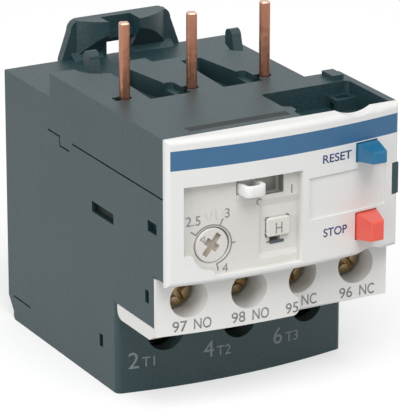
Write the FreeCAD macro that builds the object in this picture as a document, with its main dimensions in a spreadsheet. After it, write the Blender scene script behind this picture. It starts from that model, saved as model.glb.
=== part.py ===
import FreeCAD, Part
import math
import os

import Sketcher

# Thermal overload relay that hangs under a contactor by three copper pins and a rear hook.
# Millimetres. +Z up, -Y is the operating face, the origin is the middle of the footprint.

doc = FreeCAD.newDocument("thermal_overload_relay")
sheet = doc.addObject("Spreadsheet::Sheet", "sizes")

SIZES = [
    # housings
    ("body_width", 45.0, "width over both side walls"),
    ("body_depth", 60.3, "front edge of the side walls to the rear wall"),
    ("front_plane", -26.82, "place of the front edge of the side walls along Y"),
    ("plateau_rise", 4.3, "how far the front part of the top stands over the rear part"),
    ("plateau_depth", 42.0, "how far the high part of the top runs back"),
    ("corner_depth", 19.0, "how far the high part runs back at the right corner"),
    ("corner_width", 8.1, "width of the lowered right corner of the top"),
    ("rear_top", 47.2, "height of the rear part of the top"),
    ("roof", 1.8, "thickness of the rear part of the top"),
    ("wall", 1.6, "thickness of side walls, floors and partitions"),
    ("seam_height", 41.1, "height of the joint line between the housings"),
    ("seam_gap", 0.3, "width of that joint line"),
    ("seam_drop", 1.7, "drop of the joint line at its step"),
    ("seam_step_near", 34.7, "front end of the step in the joint line"),
    ("seam_step_far", 38.2, "rear end of the step in the joint line"),
    ("seam_bend", 43.0, "depth where the joint line turns down"),
    ("seam_slope", 8.0, "depth and drop of the slanted joint line"),
    ("foot_height", 4.7, "height of the foot under the rear wall"),
    ("foot_setback", 2.0, "how far the foot stands in from the rear wall"),
    ("foot_heel", 1.6, "height of the upright heel of the foot"),
    ("foot_slope_top", 4.2, "upper end of the slanted rear edge of the foot"),
    ("rear_shell", 9.1, "depth of the rear housing behind the joint line"),
    ("plateau_short", 2.5, "how much less far the high part runs back beside its tongue"),
    ("tongue_width", 18.9, "width of that tongue from the left wall"),
    ("seam_groove", 0.5, "depth of the groove along the joint line"),
    ("step_depth", 17.0, "how far the lower front face is set back"),
    ("step_height", 17.0, "height of the lower edge of the side walls over the step"),
    ("nose_gap", 0.3, "gap between the terminal block and the housing over it"),
    ("nose_depth", 3.4, "depth of the notch in the side walls for the terminal block"),
    ("face_bow", 2.1, "rise of the bowed front faces over their width"),
    ("corner_round", 1.2, "radius on the outer upright corners"),
    # cover
    ("cover_overlap", 0.5, "how far the front cover reaches over the terminal block"),
    ("cover_edge", 1.2, "thickness of the cover at its two ends"),
    ("cover_round", 1.0, "radius on the edges of the cover"),
    ("plug_depth", 1.2, "depth of the cover's rim inside the housing"),
    ("plug_gap", 0.15, "clearance of that rim to the housing walls"),
    ("panel_left", 3.0, "left edge of the sunk setting panel"),
    ("panel_right", 24.9, "right edge of the sunk setting panel"),
    ("panel_low", 26.8, "lower edge of the setting panel"),
    ("panel_high", 43.1, "upper edge of the setting panel"),
    ("panel_depth", 1.5, "depth of the setting panel under the face"),
    ("panel_corner_width", 5.4, "width of the filled corner under the dial"),
    ("panel_corner_height", 3.9, "height of the filled corner under the dial"),
    ("label_gap", 1.3, "gap between the setting panel and the bare label field"),
    ("label_margin", 2.8, "gap between the bare label field and the right wall's outside"),
    ("label_low", 33.9, "lower edge of the bare label field"),
    ("label_high", 41.4, "upper edge of the bare label field"),
    ("label_depth", 0.35, "depth of the bare label field"),
    ("scoop_margin", 8.7, "middle of the finger scoop from the right wall's outside"),
    ("scoop_radius", 7.0, "radius of the finger scoop"),
    ("scoop_depth", 0.9, "depth of the finger scoop"),
    ("long_window_place", 18.0, "place of the long window in the left wall, from the front"),
    ("long_window_low", 30.9, "lower edge of the long window"),
    ("long_window_width", 8.1, "width of the long window"),
    ("latch_window_place", 2.3, "place of the cover's latch window, from the front plane"),
    ("latch_window_low", 33.9, "lower edge of the cover's latch window"),
    ("latch_window_width", 3.2, "width of the cover's latch window"),
    ("latch_window_height", 1.95, "height of the two upper windows"),
    ("aux_catch_place", 5.2, "place of the terminal block's catch window"),
    ("aux_catch_low", 20.8, "lower edge of the terminal block's catch window"),
    ("foot_catch_place", 22.4, "place of the foot's catch window"),
    ("foot_catch_low", 6.9, "lower edge of the foot's catch window"),
    ("catch_width", 1.3, "width of the two catch windows"),
    ("catch_height", 2.3, "height of the two catch windows"),
    ("lug_low", 35.2, "lower end of the latch lug at the right edge"),
    ("lug_high", 40.7, "upper end of the latch lug at the right edge"),
    ("lug_width", 1.3, "width of the latch lug"),
    # dial
    ("dial_place", 8.7, "place of the dial from the left wall"),
    ("dial_rise", 4.0, "height of the dial's axis over the floor inside"),
    ("dial_radius", 3.5, "radius of the dial"),
    ("dial_thickness", 1.6, "thickness of the dial"),
    ("dial_proud", 0.8, "how far the dial stands out of the panel"),
    ("dial_gap", 0.3, "clearance around the dial in its recess"),
    ("stem_radius", 1.6, "radius of the dial's stem"),
    ("running_gap", 0.05, "radial clearance of turning and sliding stems"),
    ("slot_width", 0.9, "width of the cross slot in dial and screws"),
    ("dial_slot_length", 4.6, "length of the dial's cross slot"),
    ("cam_radius", 2.6, "radius of the eccentric cam"),
    ("cam_throw", 0.6, "eccentricity of the cam"),
    ("cam_front", 5.6, "place of the cam behind the front plane"),
    ("cam_thickness", 2.2, "thickness of the cam"),
    # indicator
    ("knob_left", 13.4, "left side of the trip indicator knob"),
    ("knob_width", 4.1, "width of the knob"),
    ("knob_low", 40.2, "underside of the knob"),
    ("knob_thickness", 2.0, "height of the knob's loop"),
    ("knob_reach", 3.1, "how far the knob stands out of the panel"),
    ("knob_wall", 0.8, "thickness of the knob's loop"),
    ("travel", 4.0, "travel of the trip indicator"),
    ("window_left", 13.1, "left end of the indicator window"),
    ("window_right", 22.0, "right end of the indicator window"),
    ("window_low", 38.9, "lower edge of the indicator window"),
    # selector
    ("selector_left", 18.8, "left side of the reset mode selector"),
    ("selector_width", 4.3, "width of the selector"),
    ("selector_low", 31.7, "lower edge of the selector"),
    ("selector_height", 3.6, "height of the selector"),
    ("selector_proud", 0.6, "thickness of the selector on the panel"),
    ("selector_travel", 1.3, "travel of the selector"),
    ("selector_stem", 2.4, "width and height of the selector's stem"),
    # buttons
    ("button_margin", 4.95, "gap between both buttons and the right wall's outside"),
    ("button_width", 4.2, "width of both buttons at the cover"),
    ("button_tip", 2.5, "width of both buttons at the tip"),
    ("button_gap", 0.2, "clearance around the buttons in the cover"),
    ("reset_low", 42.7, "underside of the reset button at the cover"),
    ("reset_height", 3.1, "height of the reset button at the cover"),
    ("reset_reach", 5.7, "how far the reset button stands out"),
    ("reset_axis", 43.65, "height of the reset plunger"),
    ("stop_low", 28.7, "underside of the stop button at the cover"),
    ("stop_height", 4.6, "height of the stop button at the cover"),
    ("stop_reach", 5.1, "how far the stop button stands out"),
    ("stop_axis", 31.0, "height of the stop plunger"),
    ("button_taper", 1.0, "rise of the underside towards the tip"),
    ("plunger_radius", 1.0, "radius of both plungers"),
    ("plunger_end", 9.4, "rear end of both plungers behind the front plane"),
    ("collar_radius", 1.6, "radius of the stop collar on the plungers"),
    ("collar_thickness", 0.8, "thickness of that collar"),
    ("guide_front", 8.0, "place of the plunger guides behind the front plane"),
    ("guide_thickness", 1.2, "thickness of the plunger guides"),
    ("spring_radius", 1.4, "mean radius of the button springs"),
    ("spring_wire", 0.16, "radius of the button springs' wire"),
    ("spring_turns", 4.0, "turns of the button springs"),
    # power path
    ("pole_offset", 0.5, "how far the middle pole stands right of the middle"),
    ("pole_margin", 2.4, "width left over beside the three poles"),
    ("partition_top", 35.0, "upper edge of the partitions between the poles"),
    ("pin_first", 2.5, "how far the first pin stands from its chamber's left side"),
    ("pin_second", 1.3, "how far the second pin stands from its chamber's left side"),
    ("pin_third", 1.5, "how far the third pin stands from its chamber's left side"),
    ("pin_depth", 23.2, "place of the pins behind the front plane"),
    ("pin_radius", 1.1, "radius of the contactor pins"),
    ("pin_shank", 1.7, "width of the square shank of the pins inside the housing"),
    ("pin_rise", 13.4, "how far the pins stand out of the top"),
    ("pin_foot", 29.0, "height of the lower end of the pins"),
    ("pin_hole_gap", 0.12, "clearance of the pins in the top"),
    ("pin_hole_slot", 0.9, "how far the pin holes run to the left"),
    ("well_height", 10.4, "height of the power screws"),
    ("well_radius", 3.3, "radius of the screwdriver wells"),
    ("clamp_front", 21.0, "front face of the power clamp washers"),
    ("clamp_thickness", 1.2, "thickness of the clamp washers"),
    ("clamp_size", 7.6, "width and height of the clamp washers"),
    ("clamp_opening", 4.9, "room for the wire behind the clamp washer"),
    ("bus_thickness", 1.2, "thickness of the output bus bars"),
    ("plate_play", 0.1, "play of the terminal plates between their walls"),
    ("bus_low", 4.4, "lower edge of the output bus bars"),
    ("bus_high", 15.6, "upper face of the output bus bars"),
    ("power_head_radius", 3.1, "radius of the power screw heads"),
    ("power_head_height", 2.2, "height of the power screw heads"),
    ("power_thread_radius", 1.9, "radius of the power screw threads"),
    ("entry_width", 7.8, "width of the power wire entries"),
    # thermal elements
    ("strip_depth", 38.0, "place of the bimetal strips behind the front plane"),
    ("strip_thickness", 0.9, "thickness of the bimetal strips"),
    ("strip_width", 4.4, "width of the bimetal strips"),
    ("strip_over", 0.5, "how far the bimetal strips reach over the slides"),
    ("heater_low", 20.4, "lower end of the heaters"),
    ("heater_turns", 7, "turns of a heater"),
    ("heater_pitch", 1.8, "rise of a heater turn"),
    ("heater_ribbon", 1.1, "height of the heater ribbon"),
    ("heater_sleeve", 0.9, "thickness of the insulating sleeve"),
    ("heater_wall", 0.5, "thickness of the heater ribbon"),
    ("lead_thickness", 0.8, "thickness of the lead from pin to heater"),
    ("lead_height", 2.6, "height of that lead"),
    # trip mechanism
    ("slide_lift", 0.1, "gap between the partitions and the tripping slide"),
    ("slide_thickness", 1.0, "thickness of both slides"),
    ("slide_spacing", 0.2, "gap between the slides"),
    ("slide_tail", 4.6, "how far both slides reach left of the first strip"),
    ("slide_head", 1.2, "how far both slides reach right of the third strip"),
    ("slide_rim", 0.7, "web beside the strip slots"),
    ("slot_gap", 0.15, "clearance of the strips in the slides"),
    ("slide_travel", 1.0, "travel of both slides"),
    ("lever_lift", 1.6, "gap between the strips and the trip lever"),
    ("lever_thickness", 1.4, "thickness of the trip lever"),
    ("lever_width", 1.6, "width of the trip lever"),
    ("lever_pivot_margin", 4.0, "place of the trip lever's pivot from the right wall's outside"),
    ("lever_pivot_depth", 46.0, "place of the trip lever's pivot behind the front plane"),
    ("lever_tip_offset", 3.45, "how far the trip lever's tip stands left of the plungers"),
    ("lever_tip_depth", 7.0, "place of the trip lever's tip behind the front plane"),
    ("hub_radius", 2.1, "radius of the trip lever's hub"),
    ("pivot_radius", 1.0, "radius of the pivot pins"),
    ("fork_gap", 0.5, "play of the lever's tip in the carriage"),
    ("comp_place", 3.1, "place of the compensation lever's pivot from the left wall"),
    ("comp_depth", 19.4, "place of that pivot behind the front plane"),
    ("comp_lift", 0.4, "gap between the partitions and the compensation lever's hub"),
    ("comp_height", 2.8, "height of that hub"),
    ("comp_hub_radius", 1.35, "radius of that hub"),
    ("comp_pin_radius", 0.7, "radius of the compensation lever's pin"),
    ("comp_arm", 0.9, "thickness of the compensation lever's arms"),
    ("comp_pad", 6.3, "right end of its pad beside the cam, from the left wall"),
    ("comp_tail", 7.6, "length of its rear arm"),
    ("comp_reach", 6.8, "how far the compensation strip stands out of that arm"),
    ("rocker_depth", 13.6, "place of the contact rocker behind the front plane"),
    ("rocker_rise", 2.0, "height of the contact rocker's pivot over the fixed contacts"),
    ("rocker_angle", 6.0, "angle that the contact rocker turns through"),
    ("contact_rise", 3.1, "height of the fixed contacts over the floor inside"),
    ("bridge_thickness", 0.6, "thickness of the contact bridges"),
    ("contact_gap", 0.05, "clearance kept between contact faces"),
    # auxiliary terminals
    ("aux_offset", 0.125, "how far the auxiliary screws stand left of the middle"),
    ("aux_margin", 0.8, "width left over beside the four auxiliary screws"),
    ("aux_rise", 6.3, "height of the auxiliary screws over the block's lower edge"),
    ("aux_hole_radius", 3.4, "radius of the auxiliary screwdriver holes"),
    ("aux_low", 15.6, "lower edge of the terminal block's face"),
    ("aux_roof", 0.8, "thickness of the block over the terminal rooms"),
    ("aux_face", 2.6, "place of the block's face at its left end"),
    ("aux_split_offset", 1.3, "how far the step in the block's face is left of the third screw"),
    ("aux_split_face", 3.0, "place of the set-back face beside the step"),
    ("aux_right_face", 2.2, "place of the set-back face at the right end"),
    ("skirt_low", 14.4, "underside of the block's skirt"),
    ("aux_gap", 0.15, "clearance of the terminal block in the housing"),
    ("aux_room_front", 7.6, "front wall of the terminal rooms, from the front plane"),
    ("aux_room_width", 8.2, "width of a terminal room"),
    ("aux_room_rise", 3.3, "height of the rooms over the auxiliary screws"),
    ("aux_head_front", 6.0, "front of the auxiliary screw heads"),
    ("aux_head_radius", 2.9, "radius of the auxiliary screw heads"),
    ("aux_head_height", 1.8, "height of the auxiliary screw heads"),
    ("aux_thread_radius", 1.5, "radius of the auxiliary screw threads"),
    ("aux_washer", 0.7, "thickness of the auxiliary washers"),
    ("aux_washer_size", 6.6, "width and height of the auxiliary washers"),
    ("aux_opening", 4.6, "room for the wire behind an auxiliary washer"),
    ("aux_plate", 0.9, "thickness of the auxiliary terminal plates"),
    ("tab_width", 2.4, "width of the tabs up to the contacts"),
    # rear hook and top details
    ("hook_left", 11.4, "left foot of the hook from the left wall"),
    ("hook_right", 35.4, "right foot of the hook from the left wall"),
    ("hook_lean", 1.8, "how far the hook's sides lean in"),
    ("hook_top", 54.3, "upper edge of the hook"),
    ("hook_root", 9.0, "how far the hook's plate runs down the rear wall"),
    ("hook_thickness", 1.6, "thickness of the hook's plate"),
    ("hook_lip", 4.3, "reach of the hook's lip"),
    ("hook_round", 2.0, "radius of the hook's upper corners"),
    ("hook_slot_left", 19.2, "left side of the slot in the lip"),
    ("hook_slot_right", 25.2, "right side of the slot in the lip"),
    ("post_left", 9.8, "place of the left post from the left wall"),
    ("post_margin", 6.6, "place of the right post from the right wall's outside"),
    ("post_width", 1.9, "thickness of the posts"),
    ("post_top", 53.4, "upper end of the posts"),
    ("post_depth", 42.0, "front foot of the posts behind the front plane"),
    ("scallop_radius", 5.0, "radius of the hollows around the posts"),
    ("pocket_first", 8.6, "left side of the first pocket in the top"),
    ("pocket_width", 6.3, "width of the pockets in the top"),
    ("pocket_near", 20.5, "front edge of the pockets"),
    ("pocket_far", 37.6, "rear edge of the pockets"),
    ("pocket_depth", 3.2, "depth of the pockets"),
    ("tray_left", 26.2, "left edge of the tray in the top"),
    ("tray_margin", 1.4, "thickness of the wall right of the tray"),
    ("tray_far", 13.6, "rear edge of the tray"),
    ("tray_roof", 1.8, "thickness of the tray's floor over the inside"),
]

for line, (alias, number, meaning) in enumerate(SIZES, 1):
    sheet.set(f"A{line}", meaning)
    sheet.set(f"B{line}", str(number))
    sheet.setAlias(f"B{line}", alias)
doc.recompute()


class Size:
    """A length as a number and as the text of its expression on the sheet."""

    def __init__(self, text, number):
        self.text = text
        self.number = number

    @staticmethod
    def of(value):
        return value if isinstance(value, Size) else Size(repr(float(value)), float(value))

    def root(self):
        return Size(f"sqrt({self.text})", self.number ** 0.5)

    def cosine(self):
        return Size(f"cos({self.text})", math.cos(math.radians(self.number)))

    def sine(self):
        return Size(f"sin({self.text})", math.sin(math.radians(self.number)))

    def joined(self, sign, other, number):
        return Size(f"({self.text} {sign} {other.text})", number)

    def __add__(self, other):
        other = Size.of(other)
        return self.joined("+", other, self.number + other.number)

    def __sub__(self, other):
        other = Size.of(other)
        return self.joined("-", other, self.number - other.number)

    def __mul__(self, other):
        other = Size.of(other)
        return self.joined("*", other, self.number * other.number)

    def __truediv__(self, other):
        other = Size.of(other)
        return self.joined("/", other, self.number / other.number)

    def __radd__(self, other):
        return Size.of(other) + self

    def __rsub__(self, other):
        return Size.of(other) - self

    def __rmul__(self, other):
        return Size.of(other) * self

    def __neg__(self):
        return 0 - self


class Sizes:
    """Every alias of the sheet as a Size."""

    def __init__(self):
        for alias, number, _ in SIZES:
            setattr(self, alias, Size(f"sizes.{alias}", float(number)))


S = Sizes()
LEFT = S.body_width / -2
RIGHT = S.body_width / 2
FRONT = S.front_plane
BACK = FRONT + S.body_depth


def bind(thing, field, size):
    thing.setExpression(field, Size.of(size).text)


def across(place):
    """A place counted from the left wall."""
    return LEFT + place


def behind(place):
    """A place counted from the front plane."""
    return FRONT + place


def bow_radius(width):
    return (width * width / 4 + S.face_bow * S.face_bow) / (S.face_bow * 2)


# --- sketched pieces ---------------------------------------------------------------------

def draw_loop(sketch, corners):
    """A closed outline held corner by corner. A corner (x, y, radius) starts an arc:
    positive radii turn counter-clockwise, negative ones clockwise."""
    ends = []
    count = len(corners)
    for number, corner in enumerate(corners):
        start = FreeCAD.Vector(Size.of(corner[0]).number, Size.of(corner[1]).number, 0)
        following = corners[(number + 1) % count]
        end = FreeCAD.Vector(Size.of(following[0]).number, Size.of(following[1]).number, 0)
        if len(corner) == 2:
            edge = sketch.addGeometry(Part.LineSegment(start, end), False)
            ends.append((edge, 1, 2))
            continue
        radius = Size.of(corner[2])
        chord = end - start
        half = chord.Length / 2
        reach = max(radius.number ** 2 - half ** 2, 0) ** 0.5
        side = 1 if radius.number > 0 else -1
        normal = FreeCAD.Vector(-chord.y, chord.x, 0).normalize()
        centre = (start + end) / 2 + normal * (reach * side)
        first, last = (start, end) if side > 0 else (end, start)
        circle = Part.Circle(centre, FreeCAD.Vector(0, 0, 1), abs(radius.number))
        turn = [circle.parameter(point) for point in (first, last)]
        if turn[1] < turn[0]:
            turn[1] += 2 * math.pi
        edge = sketch.addGeometry(Part.ArcOfCircle(circle, turn[0], turn[1]), False)
        ends.append((edge, 1, 2) if side > 0 else (edge, 2, 1))
        held = sketch.addConstraint(Sketcher.Constraint("Radius", edge, abs(radius.number)))
        bind(sketch, f"Constraints[{held}]", radius if side > 0 else -radius)
    for number, (edge, _, finish) in enumerate(ends):
        following, start, _ = ends[(number + 1) % count]
        sketch.addConstraint(Sketcher.Constraint("Coincident", edge, finish, following, start))
    for (edge, start, _), corner in zip(ends, corners):
        for kind, place in (("DistanceX", corner[0]), ("DistanceY", corner[1])):
            place = Size.of(place)
            rule = Sketcher.Constraint(kind, -1, 1, edge, start, place.number)
            bind(sketch, f"Constraints[{sketch.addConstraint(rule)}]", place)


def draw_circle(sketch, x, y, radius):
    x, y, radius = Size.of(x), Size.of(y), Size.of(radius)
    centre = FreeCAD.Vector(x.number, y.number, 0)
    circle = Part.Circle(centre, FreeCAD.Vector(0, 0, 1), radius.number)
    edge = sketch.addGeometry(circle, False)
    rules = [
        (Sketcher.Constraint("DistanceX", -1, 1, edge, 3, x.number), x),
        (Sketcher.Constraint("DistanceY", -1, 1, edge, 3, y.number), y),
        (Sketcher.Constraint("Radius", edge, radius.number), radius),
    ]
    for rule, size in rules:
        bind(sketch, f"Constraints[{sketch.addConstraint(rule)}]", size)


def rectangle(x1, y1, x2, y2):
    return [(x1, y1), (x2, y1), (x2, y2), (x1, y2)]


class Piece:
    """One PartDesign body with short calls for its features.

    The planes are named by what is seen on them: "plan" is X-Y, "front" is X-Z and
    "side" is Y-Z. Every feature says where it starts and ends along the third axis."""

    ROLES = {"plan": "XY_Plane", "front": "XZ_Plane", "side": "YZ_Plane"}

    def __init__(self, name):
        self.body = doc.addObject("PartDesign::Body", name)
        self.body.Label = name
        self.count = 0

    def name(self, kind):
        self.count += 1
        return f"{self.body.Name}_{kind}_{self.count}"

    def origin(self, role):
        return next(item for item in self.body.Origin.OriginFeatures if item.Role == role)

    def sketch(self, view, place):
        sketch = self.body.newObject("Sketcher::SketchObject", self.name("sketch"))
        sketch.AttachmentSupport = (self.origin(self.ROLES[view]), [""])
        sketch.MapMode = "FlatFace"
        bind(sketch, "AttachmentOffset.Base.z", -place if view == "front" else place)
        return sketch

    def drawn(self, view, place, shapes):
        sketch = self.sketch(view, place)
        for shape in shapes:
            if isinstance(shape, tuple):
                draw_circle(sketch, *shape)
            else:
                draw_loop(sketch, shape)
        return sketch

    def volume(self):
        return self.body.Tip.Shape.Volume

    def pad(self, view, start, end, *shapes):
        start, end = Size.of(start), Size.of(end)
        before = self.volume() if self.body.Tip else 0
        sketch = self.drawn(view, end if view == "front" else start, shapes)
        feature = self.body.newObject("PartDesign::Pad", self.name("pad"))
        feature.Profile = sketch
        bind(feature, "Length", end - start)
        return self.measured(feature, before, 1)

    def pocket(self, view, start, end, *shapes):
        start, end = Size.of(start), Size.of(end)
        before = self.volume()
        sketch = self.drawn(view, start if view == "front" else end, shapes)
        feature = self.body.newObject("PartDesign::Pocket", self.name("pocket"))
        feature.Profile = sketch
        bind(feature, "Length", end - start)
        return self.measured(feature, before, -1)

    def measured(self, feature, before, sense):
        doc.recompute()
        if (feature.Shape.Volume - before) * sense <= 0:
            raise ValueError(f"{feature.Name} changes nothing")
        if not feature.Shape.isValid():
            raise ValueError(f"{feature.Name} is not valid")
        return feature

    def row(self, features, axis, count, length):
        """Repeats features in a row; the length is from the first copy to the last."""
        feature = self.body.newObject("PartDesign::LinearPattern", self.name("row"))
        feature.Originals = features
        feature.Direction = (self.origin(axis), [""])
        bind(feature, "Occurrences", count)
        bind(feature, "Length", length)
        self.body.Tip = feature
        doc.recompute()
        return feature

    def round(self, radius, test):
        base = self.body.Tip
        feature = self.body.newObject("PartDesign::Fillet", self.name("round"))
        feature.Base = (base, self.edges_of(base, test))
        bind(feature, "Radius", radius)
        return self.measured(feature, 0, 1)

    def bevel(self, size, test):
        base = self.body.Tip
        feature = self.body.newObject("PartDesign::Chamfer", self.name("bevel"))
        feature.Base = (base, self.edges_of(base, test))
        bind(feature, "Size", size)
        doc.recompute()
        return feature

    def edges_of(self, base, test):
        found = []
        for number, edge in enumerate(base.Shape.Edges, 1):
            middle = edge.valueAt((edge.FirstParameter + edge.LastParameter) / 2)
            if test(edge, middle):
                found.append(f"Edge{number}")
        return found


# --- pieces from primitives --------------------------------------------------------------

TURNS = {"x": FreeCAD.Rotation(FreeCAD.Vector(0, 1, 0), 90),
         "y": FreeCAD.Rotation(FreeCAD.Vector(1, 0, 0), -90),
         "z": FreeCAD.Rotation()}
NODES = []


def node(thing, name):
    """Marks a finished sub-part and gives it its name."""
    thing.Label = name
    NODES.append(thing)
    return thing


def place(thing, x, y, z):
    for axis, size in zip("xyz", (x, y, z)):
        bind(thing, f"Placement.Base.{axis}", size)


def box(name, low, high):
    """A block between two opposite corners."""
    block = doc.addObject("Part::Box", name)
    for field, first, last in zip(("Length", "Width", "Height"), low, high):
        bind(block, field, last - first)
    place(block, *low)
    return block


def rod(name, axis, low, radius, length):
    """A cylinder that starts at a point and runs along an axis."""
    cylinder = doc.addObject("Part::Cylinder", name)
    cylinder.Placement.Rotation = TURNS[axis]
    bind(cylinder, "Radius", radius)
    bind(cylinder, "Height", length)
    place(cylinder, *low)
    return cylinder


def group(name, things):
    """Equal pieces that share one sub-part as separate solids."""
    several = doc.addObject("Part::Compound", name)
    several.Links = list(things)
    return several


# --- places that several pieces share ----------------------------------------------------

INNER_LEFT = LEFT + S.wall
INNER_RIGHT = RIGHT - S.wall
AUX_HEIGHT = S.aux_low + S.aux_rise
AUX_CEILING = AUX_HEIGHT + S.aux_room_rise
AUX_TOP = AUX_CEILING + S.aux_roof
NOSE = AUX_TOP + S.nose_gap
PLATEAU = S.rear_top + S.plateau_rise
CEILING = S.rear_top - S.roof
COVER_BOTTOM = AUX_TOP - S.cover_overlap
FLOOR = NOSE + S.wall
DIAL_HEIGHT = FLOOR + S.dial_rise
CONTACT_HEIGHT = FLOOR + S.contact_rise
ROCKER_HEIGHT = CONTACT_HEIGHT + S.rocker_rise
SLIDE_LOW = S.partition_top + S.slide_lift
POLE_PITCH = (S.body_width - S.pole_margin) / 3
CHAMBER_WIDTH = POLE_PITCH - S.wall
POLES = [S.pole_offset + POLE_PITCH * step for step in (-1, 0, 1)]
CHAMBER_LEFTS = [pole - CHAMBER_WIDTH / 2 for pole in POLES]
PIN_PLACES = [left + inset for left, inset
              in zip(CHAMBER_LEFTS, (S.pin_first, S.pin_second, S.pin_third))]
AUX_PITCH = (S.body_width - S.aux_margin) / 4
AUX_PLACES = [AUX_PITCH * step - S.aux_offset for step in (-1.5, -0.5, 0.5, 1.5)]
ROCKER_PLACE = -S.aux_offset
FACE_ENDS = FRONT - S.cover_edge
BUTTON_LEFT = S.body_width - S.button_margin - S.button_width
BUTTON_MIDDLE = across(BUTTON_LEFT) + S.button_width / 2
LEVER_TIP = BUTTON_MIDDLE - S.lever_tip_offset
SLIDE_ENDS = (POLES[0] - S.slide_tail, POLES[2] + S.slide_head)
POWER_HEAD = behind(S.clamp_front) - S.power_head_height
BUS_FACE = behind(S.clamp_front + S.clamp_thickness + S.clamp_opening)
AUX_HEAD = behind(S.aux_head_front)
AUX_WASHER = AUX_HEAD + S.aux_head_height
AUX_PLATE = AUX_WASHER + S.aux_washer + S.aux_opening
DIFFERENTIAL_LOW = SLIDE_LOW + S.slide_thickness + S.slide_spacing
STRIP_TOP = DIFFERENTIAL_LOW + S.slide_thickness + S.strip_over
LEVER_LOW = STRIP_TOP + S.lever_lift


def bowed_depth(place_across):
    """How far a bowed face stands out at a place counted from the left wall."""
    radius = bow_radius(S.body_width)
    offset = place_across - S.body_width / 2
    return (radius * radius - offset * offset).root() - radius + S.face_bow


PEG = S.pivot_radius / 2
PANEL_AT_DIAL = FACE_ENDS - bowed_depth(S.dial_place) + S.panel_depth
PANEL_MIDDLE = FACE_ENDS - S.face_bow + S.panel_depth
BUTTON_ROOT = FACE_ENDS - bowed_depth(BUTTON_LEFT)


def upright(edge, middle):
    """Edges along Z."""
    return edge.BoundBox.XLength < 0.01 and edge.BoundBox.YLength < 0.01


def near(value, size, slack=0.05):
    return abs(value - Size.of(size).number) < slack


# --- housings ----------------------------------------------------------------------------

def front_housing():
    """The lower moulding: side walls, pole chambers, screw wells and wire entries."""
    piece = Piece("front_housing")
    seam = S.seam_height
    low_seam = seam - S.seam_drop
    heel = BACK - S.foot_setback
    rear = BACK - S.rear_shell
    outline = [
        (behind(S.step_depth), 0),
        (heel - S.foot_heel / 3, 0),
        (heel, S.foot_heel / 3),
        (heel, S.foot_heel),
        (BACK, S.foot_slope_top),
        (BACK, S.foot_height),
        (rear, S.foot_height),
        (rear, seam - S.seam_slope),
        (rear - S.seam_slope, seam),
        (behind(S.seam_step_far), seam),
        (behind(S.seam_step_far), low_seam),
        (behind(S.seam_step_near), low_seam),
        (behind(S.seam_step_near), seam),
        (FRONT, seam),
        (FRONT, NOSE),
        (behind(S.nose_depth), NOSE),
        (behind(S.nose_depth), S.step_height),
        (behind(S.step_depth), S.step_height),
    ]
    piece.pad("side", LEFT, RIGHT, outline)
    step = behind(S.step_depth)
    piece.round(S.corner_round, lambda edge, middle: upright(edge, middle)
                and near(middle.y, step) and middle.z < S.step_height.number)
    piece.pocket("plan", S.skirt_low, NOSE,
                 rectangle(INNER_LEFT, FRONT - S.wall, INNER_RIGHT, step))
    overlap = step + S.wall / 2
    start = LEFT + S.corner_round
    end = RIGHT - S.corner_round
    piece.pad("plan", 0, S.skirt_low - S.aux_gap,
              [(start, step, bow_radius(end - start)), (end, step), (end, overlap), (start, overlap)])
    inner_step = step + S.wall
    rear_wall = rear - S.wall
    piece.pocket("plan", FLOOR, seam + S.wall,
                 rectangle(INNER_LEFT, FRONT - S.wall, INNER_RIGHT, step))
    piece.pocket("plan", S.partition_top, seam + S.wall,
                 rectangle(INNER_LEFT, step - S.wall, INNER_RIGHT, rear_wall))
    half = CHAMBER_WIDTH / 2
    chamber = piece.pocket("plan", S.wall, S.partition_top + S.wall,
                           rectangle(POLES[0] - half, inner_step, POLES[0] + half, rear_wall))
    well = piece.pocket("front", step - S.face_bow - S.wall, inner_step + S.wall,
                        (POLES[0], S.well_height, S.well_radius))
    half_entry = S.entry_width / 2
    washer_back = behind(S.clamp_front + S.clamp_thickness)
    entry = piece.pocket("plan", -S.wall, S.wall * 2,
                         rectangle(POLES[0] - half_entry, washer_back,
                                   POLES[0] + half_entry, BUS_FACE))
    piece.row([chamber, well, entry], "X_Axis", len(POLES), POLE_PITCH * 2)
    half_tab = S.tab_width / 2 + S.aux_gap
    tab = piece.pocket("plan", NOSE - S.wall, FLOOR + S.wall,
                       rectangle(AUX_PLACES[0] - half_tab, AUX_PLATE - S.aux_gap,
                                 AUX_PLACES[0] + half_tab, AUX_PLATE + S.aux_plate + S.aux_gap))
    piece.row([tab], "X_Axis", len(AUX_PLACES), AUX_PITCH * 3)
    seam_grooves(piece, seam, low_seam)
    side_windows(piece)
    half_guide = S.button_width / 2
    guide = behind(S.guide_front)
    piece.pad("plan", FLOOR - S.wall / 2, S.stop_axis + S.collar_radius * 1.5,
              rectangle(BUTTON_MIDDLE - half_guide, guide,
                        BUTTON_MIDDLE + half_guide, guide + S.guide_thickness))
    piece.pocket("front", guide - S.wall, guide + S.guide_thickness + S.wall,
                 (BUTTON_MIDDLE, S.stop_axis, S.plunger_radius + S.running_gap))
    piece.pad("side", RIGHT - S.lug_width, RIGHT,
              rectangle(FACE_ENDS, S.lug_low, FRONT + S.wall, S.lug_high))
    node(piece.body, "front_housing")


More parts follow.
